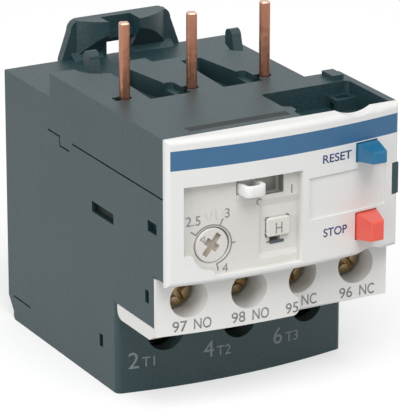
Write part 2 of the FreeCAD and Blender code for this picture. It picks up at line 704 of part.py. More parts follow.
def seam_grooves(piece, seam, low_seam):
    """The open joint line along both side walls."""
    near_end = behind(S.seam_step_near) - S.seam_drop * 0.7
    far = behind(S.seam_step_far)
    gap = S.seam_gap
    long_groove = rectangle(FRONT - S.wall, seam - gap, near_end, seam + gap)
    jog = [
        (behind(S.seam_step_near), low_seam - gap),
        (far + gap, low_seam - gap),
        (far + gap, seam - gap),
        (behind(S.seam_bend), seam - gap),
        (behind(S.seam_bend), seam),
        (far, seam),
        (far, low_seam),
        (behind(S.seam_step_near), low_seam),
    ]
    for start in (LEFT, RIGHT - S.seam_groove):
        piece.pocket("side", start, start + S.seam_groove, long_groove)
        piece.pocket("side", start, start + S.seam_groove, jog)
    slit = rectangle(BACK - S.rear_shell, S.foot_height - gap,
                     BACK - S.foot_setback, S.foot_height)
    piece.pocket("side", LEFT, LEFT + S.seam_groove, slit)


def side_windows(piece):
    """Latch and catch windows in the left wall."""
    def window(depth, low, width, height):
        piece.pocket("side", LEFT - S.wall, LEFT + S.wall * 0.75,
                     rectangle(behind(depth), low, behind(depth) + width, low + height))

    window(S.long_window_place, S.long_window_low, S.long_window_width, S.latch_window_height)
    window(S.latch_window_place, S.latch_window_low, S.latch_window_width,
           S.latch_window_height)
    window(S.aux_catch_place, S.aux_catch_low, S.catch_width, S.catch_height)
    window(S.foot_catch_place, S.foot_catch_low, S.catch_width, S.catch_height)


def rear_housing():
    """The upper and rear moulding: top with pockets and tray, rear wall, posts and hook."""
    piece = Piece("rear_housing")
    seam = S.seam_height
    rear = BACK - S.rear_shell
    outline = [
        (FRONT, seam),
        (behind(S.seam_step_near), seam),
        (behind(S.seam_step_near), seam - S.seam_drop),
        (behind(S.seam_step_far), seam - S.seam_drop),
        (behind(S.seam_step_far), seam),
        (rear - S.seam_slope, seam),
        (rear, seam - S.seam_slope),
        (rear, S.foot_height),
        (BACK, S.foot_height),
        (BACK, S.rear_top),
        (FRONT, S.rear_top),
    ]
    piece.pad("side", LEFT, RIGHT, outline)
    corner = RIGHT - S.corner_width
    tongue = across(S.tongue_width)
    far = behind(S.plateau_depth)
    high_part = [
        (LEFT, FRONT), (RIGHT, FRONT), (RIGHT, behind(S.corner_depth)),
        (corner, behind(S.corner_depth)), (corner, far - S.plateau_short),
        (tongue, far - S.plateau_short), (tongue, far), (LEFT, far),
    ]
    piece.pad("plan", S.rear_top - S.wall, PLATEAU, high_part)
    piece.pocket("side", INNER_LEFT, INNER_RIGHT,
                 rectangle(FRONT - S.wall, S.foot_height + S.wall, BACK - S.wall, CEILING))
    posts = (across(S.post_left), RIGHT - S.post_margin)
    for post in posts:
        piece.pocket("plan", S.rear_top, PLATEAU + S.wall, (post, far, S.scallop_radius))
    top_pockets(piece)
    pin_holes(piece)
    tray(piece)
    hook(piece)
    for post in posts:
        standing_post(piece, post)
    half_guide = S.button_width / 2
    guide = behind(S.guide_front)
    piece.pad("plan", S.reset_axis - S.collar_radius * 1.25, CEILING + S.wall / 2,
              rectangle(BUTTON_MIDDLE - half_guide, guide,
                        BUTTON_MIDDLE + half_guide, guide + S.guide_thickness))
    piece.pocket("front", guide - S.wall, guide + S.guide_thickness + S.wall,
                 (BUTTON_MIDDLE, S.reset_axis, S.plunger_radius + S.running_gap))
    root_top = S.reset_low + S.reset_height
    half = S.button_width / 2 + S.button_gap
    piece.pocket("front", FRONT - S.wall, behind(S.cover_edge + S.plug_depth + 2),
                 rectangle(BUTTON_MIDDLE - half, CEILING - S.wall,
                           BUTTON_MIDDLE + half, root_top + S.button_gap * 2))
    node(piece.body, "rear_housing")


def top_pockets(piece):
    """Two deep pockets between the pins, each with a shallow ramp at its right."""
    left = across(S.pocket_first)
    near_edge = behind(S.pocket_near)
    far_edge = behind(S.pocket_far)
    floor = PLATEAU - S.pocket_depth
    deep = piece.pocket("plan", floor, PLATEAU + S.wall, [
        (left, near_edge),
        (left + S.pocket_width, near_edge),
        (left + S.pocket_width, near_edge + S.pocket_width),
        (left + S.pocket_width - S.wall, far_edge),
        (left + S.wall / 2, far_edge),
    ])
    ramp = piece.pocket("plan", PLATEAU - S.pocket_depth / 3, PLATEAU + S.wall, [
        (left + S.pocket_width - S.wall / 4, near_edge),
        (left + S.pocket_width + S.wall, near_edge),
        (left + S.pocket_width + S.wall, near_edge + S.pocket_width, S.wall * 0.7),
        (left + S.pocket_width - S.wall / 4, near_edge + S.pocket_width),
    ])
    piece.row([deep, ramp], "X_Axis", 2, POLE_PITCH)


def pin_holes(piece):
    """Holes for the pins, each with a slot to its left."""
    radius = S.pin_radius + S.pin_hole_gap
    y = behind(S.pin_depth)
    low = CEILING - S.wall
    high = PLATEAU + S.wall
    for x in PIN_PLACES:
        piece.pocket("plan", low, high, (x, y, radius))
        piece.pocket("plan", low, high,
                     rectangle(x - radius - S.pin_hole_slot, y - radius * 0.8, x, y + radius * 0.8))


def tray(piece):
    """The sunk tray behind the cover's right half with its clip and latch rib."""
    left = across(S.tray_left)
    right = RIGHT - S.tray_margin
    far = behind(S.tray_far)
    floor = CEILING + S.tray_roof
    piece.pocket("plan", floor, PLATEAU + S.wall,
                 rectangle(left, FRONT - S.wall, right, far))
    piece.round(S.wall / 2, lambda edge, middle: upright(edge, middle)
                and near(middle.y, far) and middle.z > floor.number)
    clip = S.wall * 2.6
    clip_depth = S.wall * 2
    piece.pad("plan", floor - S.wall / 2, floor + S.wall * 1.3,
              rectangle(right - clip, far - clip_depth, right + S.wall / 4, far + S.wall / 4))
    piece.pocket("plan", floor, floor + S.wall * 1.3,
                 rectangle(right - clip + S.wall / 2, far - clip_depth + S.wall / 2,
                           right - S.wall / 2, far - S.wall / 2))
    piece.pocket("side", right - clip - S.wall, right - clip + S.wall / 2,
                 rectangle(far - clip_depth + S.wall / 2, floor, far - S.wall / 2,
                           floor + S.wall * 0.8))
    rib_top = PLATEAU - S.wall / 2
    piece.pad("plan", rib_top - S.wall, rib_top, [
        (left - S.wall / 4, FRONT + S.wall),
        (left + S.wall, FRONT + S.wall),
        (left + S.wall, FRONT + S.wall * 3),
        (left + S.wall * 1.6, FRONT + S.wall * 3.6),
        (left + S.wall * 1.6, FRONT + S.wall * 4.6),
        (left - S.wall / 4, FRONT + S.wall * 6),
    ])
    lug = RIGHT - S.wall
    piece.pad("plan", PLATEAU - S.wall / 2, PLATEAU + S.wall / 2,
              rectangle(lug - S.wall * 1.4, far + S.wall * 0.7, lug, far + S.wall * 3))


def hook(piece):
    """The rear hook: a plate on the rear wall with an overhanging, bowed lip."""
    left = across(S.hook_left)
    right = across(S.hook_right)
    top = S.hook_top
    lean = S.hook_lean
    curve = S.hook_round
    start = BACK - S.wall / 8
    end = BACK + S.hook_thickness
    piece.pad("front", start, end, [
        (left, S.rear_top - S.hook_root),
        (right, S.rear_top - S.hook_root),
        (right, S.rear_top),
        (right - lean, top - curve, curve),
        (right - lean - curve, top),
        (left + lean + curve, top, curve),
        (left + lean, top - curve),
        (left, S.rear_top),
    ])
    lip_left = left + lean + curve * 0.6
    lip_right = right - lean - curve * 0.6
    reach = S.hook_lip
    width = lip_right - lip_left
    lip_radius = (width * width / 4 + reach * reach) / (reach * 2)
    piece.pad("plan", S.rear_top + S.wall / 2, top, [
        (lip_left, start, lip_radius), (lip_right, start),
        (lip_right, start + S.wall / 2), (lip_left, start + S.wall / 2),
    ])
    piece.pocket("side", lip_left - S.wall, lip_right + S.wall, [
        (start - reach - S.wall, S.rear_top + S.wall / 4),
        (start, S.rear_top + S.wall / 4),
        (start - reach, top - S.wall),
        (start - reach - S.wall, top - S.wall),
    ])
    slot_left = across(S.hook_slot_left)
    slot_right = across(S.hook_slot_right)
    piece.pocket("plan", S.rear_top + S.wall / 4, top + S.wall,
                 rectangle(slot_left, start - reach - S.wall, slot_right, start))
    ledge = top - S.wall * 1.5
    piece.pad("plan", ledge - S.wall * 0.8, ledge,
              rectangle(slot_left - S.wall / 4, start - S.wall, slot_right + S.wall / 4,
                        start + S.wall / 2))
    piece.pocket("front", start - S.wall / 2, end + S.wall,
                 rectangle(slot_left + S.wall * 0.8, S.rear_top - S.wall * 0.4,
                           slot_right - S.wall * 0.2, S.rear_top + S.wall * 1.4))
    foot = S.wall
    piece.pad("side", left + lean, slot_left, [
        (BACK - foot * 1.5, S.rear_top - foot / 4),
        (BACK + foot / 4, S.rear_top - foot / 4),
        (BACK + foot / 4, S.rear_top + foot * 0.7),
        (BACK - foot / 8, S.rear_top + foot * 0.7),
    ])
    piece.pad("side", slot_right, right - lean, [
        (BACK - foot * 1.5, S.rear_top - foot / 4),
        (BACK + foot / 4, S.rear_top - foot / 4),
        (BACK + foot / 4, S.rear_top + foot * 0.7),
        (BACK - foot / 8, S.rear_top + foot * 0.7),
    ])


def standing_post(piece, x):
    """A barbed post that snaps into the contactor's base."""
    foot = behind(S.post_depth)
    half = S.post_width / 2
    crown = S.post_width * 0.68
    lean = S.post_width * 0.95
    shoulder = S.post_top - crown
    piece.pad("side", x - half, x + half, [
        (foot, S.rear_top - S.wall / 2),
        (foot + crown * 2, S.rear_top - S.wall / 2),
        (foot + crown * 2, S.rear_top + S.wall * 1.5),
        (foot + lean + crown * 2, S.rear_top + S.wall * 2),
        (foot + lean + crown * 2, shoulder, crown),
        (foot + lean, shoulder),
    ])


def face_line(place_across, depth):
    """Place along Y of the cover's bowed face, or of a floor that follows it."""
    return FACE_ENDS - bowed_depth(place_across) + depth


def hollow(piece, left, right, low, high, depth):
    """A recess in the cover whose floor follows the bowed face."""
    outside = FACE_ENDS - S.face_bow * 2
    return piece.pocket("plan", low, high, [
        (across(left), face_line(left, depth), bow_radius(S.body_width)),
        (across(right), face_line(right, depth)),
        (across(right), outside),
        (across(left), outside),
    ])


def front_cover():
    """The light front cover: bowed face, sunk setting panel, windows and button openings."""
    piece = Piece("front_cover")
    bow = bow_radius(S.body_width)
    piece.pad("plan", COVER_BOTTOM, PLATEAU,
              [(LEFT, FACE_ENDS, bow), (RIGHT, FACE_ENDS), (RIGHT, FRONT), (LEFT, FRONT)])
    piece.round(S.cover_round, lambda edge, middle: middle.y < FACE_ENDS.number + 0.01)
    inner = S.wall + S.plug_gap
    plug_back = behind(S.plug_depth)
    piece.pad("front", FRONT, plug_back,
              rectangle(LEFT + inner, FLOOR + S.plug_gap, RIGHT - inner, CEILING - S.wall / 4))
    filled_right = S.panel_left + S.panel_corner_width
    filled_top = S.panel_low + S.panel_corner_height
    hollow(piece, S.panel_left, S.panel_right, filled_top, S.panel_high, S.panel_depth)
    hollow(piece, filled_right, S.panel_right, S.panel_low, filled_top, S.panel_depth)
    sunk = S.panel_depth + S.label_depth
    hollow(piece, S.window_right - S.selector_width - S.button_gap * 2, S.panel_right,
           S.panel_low + S.cover_edge, S.window_low - S.label_depth, sunk)
    hollow(piece, S.panel_right + S.label_gap, S.body_width - S.label_margin,
           S.label_low, S.label_high, S.label_depth)
    outside = FACE_ENDS - S.face_bow * 2
    dial = across(S.dial_place)
    piece.pocket("front", outside, PANEL_AT_DIAL,
                 (dial, DIAL_HEIGHT, S.dial_radius + S.dial_proud))
    piece.pocket("front", outside, PANEL_AT_DIAL + S.dial_thickness - S.dial_proud + S.running_gap,
                 (dial, DIAL_HEIGHT, S.dial_radius + S.dial_gap))
    beyond = plug_back + S.wall
    piece.pocket("front", outside, beyond,
                 (dial, DIAL_HEIGHT, S.stem_radius + S.running_gap))
    piece.pocket("front", outside, beyond,
                 rectangle(across(S.window_left), S.window_low, across(S.window_right),
                           S.panel_high))
    stem = across(S.selector_left + S.dial_gap)
    stem_low = S.selector_low + S.dial_gap
    piece.pocket("front", outside, beyond,
                 rectangle(stem - S.running_gap * 2, stem_low - S.selector_travel - S.button_gap,
                           stem + S.selector_stem + S.running_gap * 2,
                           stem_low + S.selector_stem + S.running_gap * 2))
    button_right = BUTTON_LEFT + S.button_width
    for low, height in ((S.reset_low, S.reset_height), (S.stop_low, S.stop_height)):
        piece.pocket("front", outside, beyond,
                     rectangle(across(BUTTON_LEFT) - S.button_gap, low - S.button_gap,
                               across(button_right) + S.button_gap, low + height + S.button_gap))
    piece.pocket("front", outside, FRONT,
                 (RIGHT - S.scoop_margin, PLATEAU + S.scoop_radius - S.scoop_depth,
                  S.scoop_radius))
    piece.pocket("front", outside, FRONT,
                 (AUX_PLACES[3], AUX_HEIGHT, COVER_BOTTOM + S.cover_round - AUX_HEIGHT))
    piece.pocket("side", RIGHT - S.lug_width - S.plug_gap, RIGHT + S.wall,
                 rectangle(outside, S.lug_low - S.plug_gap, FRONT, S.lug_high + S.plug_gap))
    node(piece.body, "front_cover")


def auxiliary_terminal_block():
    """The block with the four auxiliary screws: face, body behind it and a rounded skirt."""
    piece = Piece("auxiliary_terminal_block")
    gap = S.aux_gap
    back = behind(S.nose_depth) - gap / 2
    split = AUX_PLACES[2] - S.aux_split_offset
    split_front = behind(S.aux_face - S.face_bow)
    half = S.body_width / 2
    bow = (half * half + S.face_bow * S.face_bow) / (S.face_bow * 2)
    piece.pad("plan", S.aux_low, AUX_TOP, [
        (LEFT, behind(S.aux_face), bow),
        (split, split_front),
        (split, behind(S.aux_split_face)),
        (RIGHT, behind(S.aux_right_face)),
        (RIGHT, back),
        (LEFT, back),
    ])
    piece.round(S.corner_round, lambda edge, middle: near(middle.x, split)
                and near(middle.z, S.aux_low) and middle.y < behind(S.aux_split_face).number - 0.05)
    rear = behind(S.step_depth) - gap
    skirt_top = S.step_height - gap / 2
    curve = (S.aux_low - S.skirt_low) * 1.4
    piece.pad("side", LEFT, RIGHT, [
        (back - S.wall / 4, S.aux_low),
        (back + curve, S.skirt_low),
        (rear - curve, S.skirt_low, curve),
        (rear, S.skirt_low + curve),
        (rear, skirt_top),
        (back - S.wall / 4, skirt_top),
    ])
    piece.pad("plan", skirt_top - S.wall / 2, AUX_TOP,
              rectangle(INNER_LEFT + gap, back - S.wall / 4, INNER_RIGHT - gap, rear))
    hole = piece.pocket("front", FRONT - S.wall, behind(S.aux_room_front) + S.wall / 2,
                        (AUX_PLACES[0], AUX_HEIGHT, S.aux_hole_radius))
    half_room = S.aux_room_width / 2
    room_low = S.step_height + gap
    rear_of_plate = AUX_PLATE + S.aux_plate
    room = piece.pocket("plan", room_low, AUX_CEILING,
                        rectangle(AUX_PLACES[0] - half_room, behind(S.aux_room_front),
                                  AUX_PLACES[0] + half_room, rear_of_plate))
    half_entry = S.aux_washer_size * 0.4
    entry = piece.pocket("plan", S.skirt_low - S.wall, room_low + S.wall / 4,
                         rectangle(AUX_PLACES[0] - half_entry, AUX_WASHER + S.aux_washer,
                                   AUX_PLACES[0] + half_entry, AUX_PLATE - gap))
    half_tab = S.tab_width / 2 + gap
    tab = piece.pocket("plan", AUX_CEILING - S.wall / 4, AUX_TOP + S.wall,
                       rectangle(AUX_PLACES[0] - half_tab, AUX_PLATE - gap,
                                 AUX_PLACES[0] + half_tab, rear_of_plate))
    thread = piece.pocket("front", rear_of_plate - S.wall / 4, rear_of_plate + S.wall,
                          (AUX_PLACES[0], AUX_HEIGHT, S.aux_thread_radius + gap))
    piece.row([hole, room, entry, tab, thread], "X_Axis", len(AUX_PLACES), AUX_PITCH * 3)
    node(piece.body, "auxiliary_terminal_block")


# --- controls on the front ---------------------------------------------------------------

def turned_bar(x, y, length, width, angle):
    """A straight bar about a middle point, turned counter-clockwise."""
    cosine = math.cos(math.radians(angle))
    sine = math.sin(math.radians(angle))
    corners = []
    for along, aside in ((-0.5, -0.5), (0.5, -0.5), (0.5, 0.5), (-0.5, 0.5)):
        corners.append((x + length * (along * cosine) - width * (aside * sine),
                        y + length * (along * sine) + width * (aside * cosine)))
    return corners


def cross_slot(piece, front, depth, x, z, length, angle):
    """A cross recess: one long and one short slot."""
    for reach, turn in ((length, angle), (length * 0.6, angle + 90)):
        piece.pocket("front", front - depth, front + depth,
                     turned_bar(x, z, reach, S.slot_width, turn))


def setting_dial():
    """The current dial with its pointer, stem and snap collar."""
    piece = Piece("setting_dial")
    x = across(S.dial_place)
    z = DIAL_HEIGHT
    front = PANEL_AT_DIAL - S.dial_proud
    piece.pad("front", front, front + S.dial_thickness, (x, z, S.dial_radius))
    piece.bevel(S.dial_gap, lambda edge, middle: middle.y < front.number + 0.01)
    piece.pad("front", front + S.dial_thickness / 2, behind(S.cam_front + S.cam_thickness),
              (x, z, S.stem_radius))
    collar = behind(S.plug_depth) + S.running_gap
    piece.pad("front", collar, collar + S.dial_proud, (x, z, S.stem_radius * 1.5))
    cross_slot(piece, front, S.dial_thickness / 2, x, z, S.dial_slot_length, 57)
    node(piece.body, "setting_dial")
    disc = Piece("setting_cam")
    cam = behind(S.cam_front)
    disc.pad("front", cam, cam + S.cam_thickness, (x + S.cam_throw, z, S.cam_radius))
    disc.pocket("front", cam - S.wall, cam + S.cam_thickness + S.wall, (x, z, S.stem_radius))
    node(disc.body, "setting_cam")


def trip_indicator():
    """The D-shaped indicator knob and the carriage behind the window that carries it."""
    piece = Piece("trip_indicator")
    left = across(S.knob_left)
    right = left + S.knob_width
    tip = PANEL_MIDDLE - S.knob_reach + S.label_depth
    corner = S.knob_width / 3
    carriage = behind(S.plug_depth + S.running_gap * 8)
    piece.pad("plan", S.knob_low, S.knob_low + S.knob_thickness, [
        (left, tip + corner, corner), (left + corner, tip), (right - corner, tip, corner),
        (right, tip + corner), (right, carriage), (left, carriage),
    ])
    inner = corner - S.knob_wall / 2
    low = left + S.knob_wall
    high = right - S.knob_wall
    loop_front = tip + S.knob_wall
    piece.pocket("plan", S.knob_low - S.wall, S.knob_low + S.knob_thickness + S.wall, [
        (low, loop_front + inner, inner), (low + inner, loop_front),
        (high - inner, loop_front, inner), (high, loop_front + inner),
        (high, PANEL_MIDDLE - S.knob_wall / 2), (low, PANEL_MIDDLE - S.knob_wall / 2),
    ])
    node(piece.body, "trip_indicator")
    slider = Piece("indicator_carriage")
    back = behind(S.cam_front) - S.knob_wall
    arm_low = LEVER_LOW + S.running_gap * 2
    arm_top = arm_low + S.knob_thickness
    tip_x = LEVER_TIP
    gap = S.lever_width / 2 + S.fork_gap
    prong = S.knob_wall
    arm_end = tip_x + gap + prong
    slider.pad("plan", arm_low, arm_top + S.wall * 0.9,
               rectangle(left - S.running_gap * 8, carriage, tip_x - S.knob_width, back))
    slider.pad("plan", arm_low, arm_top,
               rectangle(tip_x - S.knob_width - prong, carriage + prong, arm_end, back))
    end = behind(S.lever_tip_depth) + S.wall
    for start in (tip_x - gap - prong, tip_x + gap):
        slider.pad("plan", arm_low, arm_top,
                   rectangle(start, back - prong, start + prong, end))
    node(slider.body, "indicator_carriage")


def reset_mode_selector():
    """The small plate that slides between manual and automatic reset, with stem and keeper."""
    piece = Piece("reset_mode_selector")
    left = across(S.selector_left)
    middle = S.selector_left + S.selector_width / 2
    floor = face_line(middle, S.panel_depth + S.label_depth) - S.running_gap * 4
    piece.pad("front", floor - S.selector_proud, floor,
              rectangle(left, S.selector_low, left + S.selector_width,
                        S.selector_low + S.selector_height))
    piece.round(S.label_depth, lambda edge, at: edge.BoundBox.YLength > 0.3)
    stem = left + S.dial_gap
    low = S.selector_low + S.dial_gap
    keeper = behind(S.plug_depth) + S.running_gap
    piece.pad("front", floor - S.selector_proud / 2, keeper + S.dial_proud / 2,
              rectangle(stem, low, stem + S.selector_stem, low + S.selector_stem))
    flange = S.dial_proud * 0.8
    piece.pad("front", keeper, keeper + S.dial_proud,
              rectangle(stem - flange, low - flange, stem + S.selector_stem + flange,
                        low + S.selector_stem + flange))
    node(piece.body, "reset_mode_selector")


def button(name, low, height, reach, axis):
    """A push button: tapered head, keeper flange behind the cover and a round plunger."""
    piece = Piece(name)
    left = across(BUTTON_LEFT)
    right = left + S.button_width
    tip = BUTTON_ROOT - reach
    keeper = behind(S.plug_depth) + S.running_gap
    piece.pad("plan", low, low + height, [
        (left, tip), (left + S.button_tip, tip), (right, BUTTON_ROOT), (right, keeper),
        (left, keeper),
    ])
    rise = low + S.button_taper
    under = low - S.wall
    piece.pocket("side", left - S.wall, right + S.wall, [
        (BUTTON_ROOT, low), (tip - S.wall, rise + S.wall / 4), (tip - S.wall, under),
        (BUTTON_ROOT, under),
    ])
    piece.round(S.dial_gap, lambda edge, middle: middle.y < tip.number + 0.01
                or (upright(edge, middle) and near(middle.y, tip)))
    flange = S.collar_thickness - S.button_gap
    top = low + height - flange
    if name == "stop_button":
        top = low + height + flange
    piece.pad("front", keeper, keeper + S.collar_thickness,
              rectangle(left - flange, low - flange, right + flange, top))
    piece.pad("front", keeper + S.collar_thickness / 2, behind(S.plunger_end),
              (BUTTON_MIDDLE, axis, S.plunger_radius))
    piece.bevel(S.dial_gap, lambda edge, middle: near(middle.y, behind(S.plunger_end)))
    node(piece.body, name)


def button_spring(name, axis):
    """The pressure spring between a button's keeper flange and its guide."""
    piece = Piece(name)
    start = behind(S.plug_depth) + S.running_gap * 2 + S.collar_thickness + S.spring_wire
    length = behind(S.guide_front) - S.running_gap - S.spring_wire - start
    sketch = piece.sketch("plan", axis)
    bind(sketch, "AttachmentOffset.Base.x", BUTTON_MIDDLE)
    section = []
    for corner in range(4):
        angle = math.radians(90 * corner)
        section.append((S.spring_radius + S.spring_wire * math.cos(angle),
                        start + S.spring_wire * math.sin(angle)))
    draw_loop(sketch, section)
    coil = piece.body.newObject("PartDesign::AdditiveHelix", piece.name("coil"))
    coil.Profile = sketch
    coil.ReferenceAxis = (sketch, ["V_Axis"])
    coil.Mode = "pitch-height-angle"
    bind(coil, "Pitch", length / S.spring_turns)
    bind(coil, "Height", length)
    piece.measured(coil, 0, 1)
    node(piece.body, name)


# --- power path --------------------------------------------------------------------------

def power_pin(number):
    """A copper pin that plugs into the contactor: square shank inside, bevelled tip outside."""
    piece = Piece(f"power_pin_{number}")
    x = PIN_PLACES[number - 1]
    y = behind(S.pin_depth)
    top = PLATEAU + S.pin_rise
    shoulder = PLATEAU + S.button_gap
    piece.pad("plan", shoulder, top, (x, y, S.pin_radius))
    piece.bevel(S.pin_radius * 0.4, lambda edge, middle: near(middle.z, top))
    half = S.pin_shank / 2
    piece.pad("plan", S.pin_foot, shoulder, rectangle(x - half, y - half, x + half, y + half))
    node(piece.body, f"power_pin_{number}")


def heater_lead(number):
    """The flat lead under a pin that runs back to its heater."""
    piece = Piece(f"heater_lead_{number}")
    pin = PIN_PLACES[number - 1]
    pole = POLES[number - 1]
    start = behind(S.pin_depth) - S.pin_radius
    heater = HEATER_FRONT
    half = S.pin_radius
    bend = heater - S.lead_height
    piece.pad("plan", S.pin_foot - S.lead_thickness, S.pin_foot, [
        (pin - half, start), (pin + half, start), (pin + half, bend - S.lead_height * 2),
        (pole + half, bend), (pole + half, heater), (pole - half, heater),
        (pole - half, bend + half), (pin - half, bend - S.lead_height),
    ])
    node(piece.body, f"heater_lead_{number}")


STRIP_HALF = S.strip_width / 2
SLEEVE_X = S.strip_thickness / 2 + S.heater_sleeve
SLEEVE_Y = STRIP_HALF + S.heater_sleeve
HEATER_FRONT = behind(S.strip_depth) - SLEEVE_Y - S.heater_wall
HEATER_HEIGHT = S.heater_pitch * S.heater_turns


def thermal_element(number):
    """A bimetal strip, its insulating sleeve and the heater ribbon wound around both."""
    x = POLES[number - 1]
    y = behind(S.strip_depth)
    half = S.strip_thickness / 2
    strip = box(f"bimetal_strip_{number}", (x - half, y - STRIP_HALF, S.bus_high),
                (x + half, y + STRIP_HALF, STRIP_TOP))
    node(strip, f"bimetal_strip_{number}")
    low = S.heater_low
    sleeve = Piece(f"heater_sleeve_{number}")
    top = low + HEATER_HEIGHT
    sleeve.pad("plan", low, top,
               rectangle(x - SLEEVE_X, y - SLEEVE_Y, x + SLEEVE_X, y + SLEEVE_Y))
    sleeve.pocket("plan", low - S.wall, top + S.wall,
                  rectangle(x - half, y - STRIP_HALF, x + half, y + STRIP_HALF))
    node(sleeve.body, f"heater_sleeve_{number}")
    outer_x = SLEEVE_X + S.heater_wall
    outer_y = SLEEVE_Y + S.heater_wall
    ribbon = Piece(f"heater_winding_{number}")
    turn = ribbon.pad("plan", low, low + S.heater_ribbon,
                      rectangle(x - outer_x, y - outer_y, x + outer_x, y + outer_y),
                      rectangle(x - SLEEVE_X, y - SLEEVE_Y, x + SLEEVE_X, y + SLEEVE_Y))
    riser = ribbon.pad("plan", low, low + S.heater_pitch + S.heater_ribbon,
                       rectangle(x + SLEEVE_X, y - SLEEVE_Y, x + outer_x, y + SLEEVE_Y))
    ribbon.row([turn, riser], "Z_Axis", S.heater_turns - 1,
               S.heater_pitch * (S.heater_turns - 2))
    node(ribbon.body, f"heater_winding_{number}")


def output_terminal(number):
    """The bus bar behind a power screw, with the tab that carries the bimetal strip."""
    piece = Piece(f"output_terminal_{number}")
    x = POLES[number - 1]
    half = CHAMBER_WIDTH / 2 - S.plate_play
    end = behind(S.strip_depth) + STRIP_HALF
    piece.pad("front", BUS_FACE, BUS_FACE + S.bus_thickness,
              rectangle(x - half, S.bus_low, x + half, S.bus_high))
    piece.pad("plan", S.bus_high - S.bus_thickness, S.bus_high,
              rectangle(x - S.strip_width / 2, BUS_FACE + S.bus_thickness / 2,
                        x + S.strip_width / 2, end))
    side = x + S.strip_thickness / 2
    piece.pad("plan", S.bus_high - S.bus_thickness / 2, S.heater_low - S.heater_sleeve,
              rectangle(side, end - S.strip_width, side + S.lead_thickness, end))
    piece.pocket("front", BUS_FACE - S.wall, BUS_FACE + S.bus_thickness + S.wall,
                 (x, S.well_height, S.power_thread_radius + S.running_gap))
    node(piece.body, f"output_terminal_{number}")


def screws(name, places, head_front, head, thread, height, end, angle):
    """Equal terminal screws with a cross recess, side by side."""
    pieces = []
    head_radius, head_height = head
    for number, x in enumerate(places, 1):
        piece = Piece(f"{name}_{number}")
        piece.pad("front", head_front, head_front + head_height, (x, height, head_radius))
        piece.bevel(head_height / 6, lambda edge, middle: near(middle.y, head_front))
        piece.pad("front", head_front + head_height / 2, end, (x, height, thread))
        cross_slot(piece, head_front, head_height / 2, x, height, head_radius * 1.7, angle)
        pieces.append(piece.body)
    node(group(name, pieces), name)


def washers(name, places, front, thickness, size, height, hole):
    """Equal square clamp washers, side by side."""
    pieces = []
    half = size / 2
    for number, x in enumerate(places, 1):
        piece = Piece(f"{name}_{number}")
        piece.pad("front", front, front + thickness,
                  rectangle(x - half, height - half, x + half, height + half))
        piece.bevel(half / 5, lambda edge, middle: edge.BoundBox.YLength > 0.3)
        piece.pocket("front", front - S.wall, front + thickness + S.wall, (x, height, hole))
        pieces.append(piece.body)
    node(group(name, pieces), name)


# --- auxiliary terminals -----------------------------------------------------------------

def aux_terminal(mark, x):
    """The plate behind an auxiliary screw, with a tab up to its contact."""
    piece = Piece(f"aux_terminal_{mark}")
    half = S.aux_room_width / 2 - S.plate_play
    low = S.step_height + S.aux_gap + S.plate_play
    back = AUX_PLATE + S.aux_plate
    piece.pad("front", AUX_PLATE, back,
              rectangle(x - half, low, x + half, AUX_CEILING - S.plate_play))
    half_tab = S.tab_width / 2
    piece.pad("front", AUX_PLATE, back,
              rectangle(x - half_tab, AUX_HEIGHT, x + half_tab, CONTACT_HEIGHT))
    piece.pocket("front", AUX_PLATE - S.wall, back + S.wall,
                 (x, AUX_HEIGHT, S.aux_thread_radius + S.running_gap))
    node(piece.body, f"aux_terminal_{mark}")


# --- trip mechanism ----------------------------------------------------------------------

def pivot_pin(name, x, y, radius, low):
    """A pivot pin that hangs from the ceiling of the rear housing."""
    node(rod(name, "z", (x, y, low), radius, CEILING - low), name)


def compensation_lever():
    """The lever that the cam swings, with the strip that corrects for room temperature."""
    piece = Piece("compensation_lever")
    x = across(S.comp_place)
    y = behind(S.comp_depth)
    low = (S.partition_top + S.comp_lift)
    high = low + S.comp_height
    pin = S.comp_pin_radius + S.running_gap
    arm = S.comp_arm
    near_end = behind(S.cam_front) + S.running_gap
    piece.pad("plan", low, high, (x, y, S.comp_hub_radius))
    piece.pad("plan", low, high, rectangle(x, near_end, x + arm, y))
    piece.pad("plan", DIAL_HEIGHT - S.cam_throw, high,
              rectangle(x, near_end, x + arm, behind(S.step_depth) - S.running_gap * 10))
    piece.pad("plan", DIAL_HEIGHT - S.cam_throw, DIAL_HEIGHT + S.comp_height,
              rectangle(x, near_end + S.running_gap * 10, across(S.comp_pad),
                        near_end + S.cam_thickness))
    piece.pad("plan", low, high, rectangle(x - arm, y, x - arm / 4, y + S.comp_tail))
    piece.pocket("plan", low - S.wall, high + S.wall, (x, y, pin))
    node(piece.body, "compensation_lever")
    strip = box("compensation_strip", (x - arm / 4, y + S.comp_tail * 0.7, low + arm / 4),
                (x + arm / 4, y + S.comp_tail + S.comp_reach, high - arm / 4))
    node(strip, "compensation_strip")
    pivot_pin("compensation_pivot", x, y, S.comp_pin_radius, low - S.running_gap * 4)


def trip_lever():
    """The long flat lever between the tripping slide and the indicator carriage."""
    piece = Piece("trip_lever")
    x = RIGHT - S.lever_pivot_margin
    y = behind(S.lever_pivot_depth)
    tip_x = LEVER_TIP
    tip_y = behind(S.lever_tip_depth)
    low = LEVER_LOW
    high = low + S.lever_thickness
    half = S.lever_width / 2
    piece.pad("plan", low, high,
              [(tip_x - half, tip_y), (tip_x + half, tip_y), (x + half, y), (x - half, y)])
    piece.pad("plan", low, high, (tip_x, tip_y, half))
    piece.pad("plan", low, high, (x, y, S.hub_radius))
    piece.pocket("plan", low - S.wall, high + S.wall, (x, y, S.pivot_radius + S.running_gap))
    node(piece.body, "trip_lever")
    pivot_pin("trip_lever_pivot", x, y, S.pivot_radius, low - S.running_gap * 4)


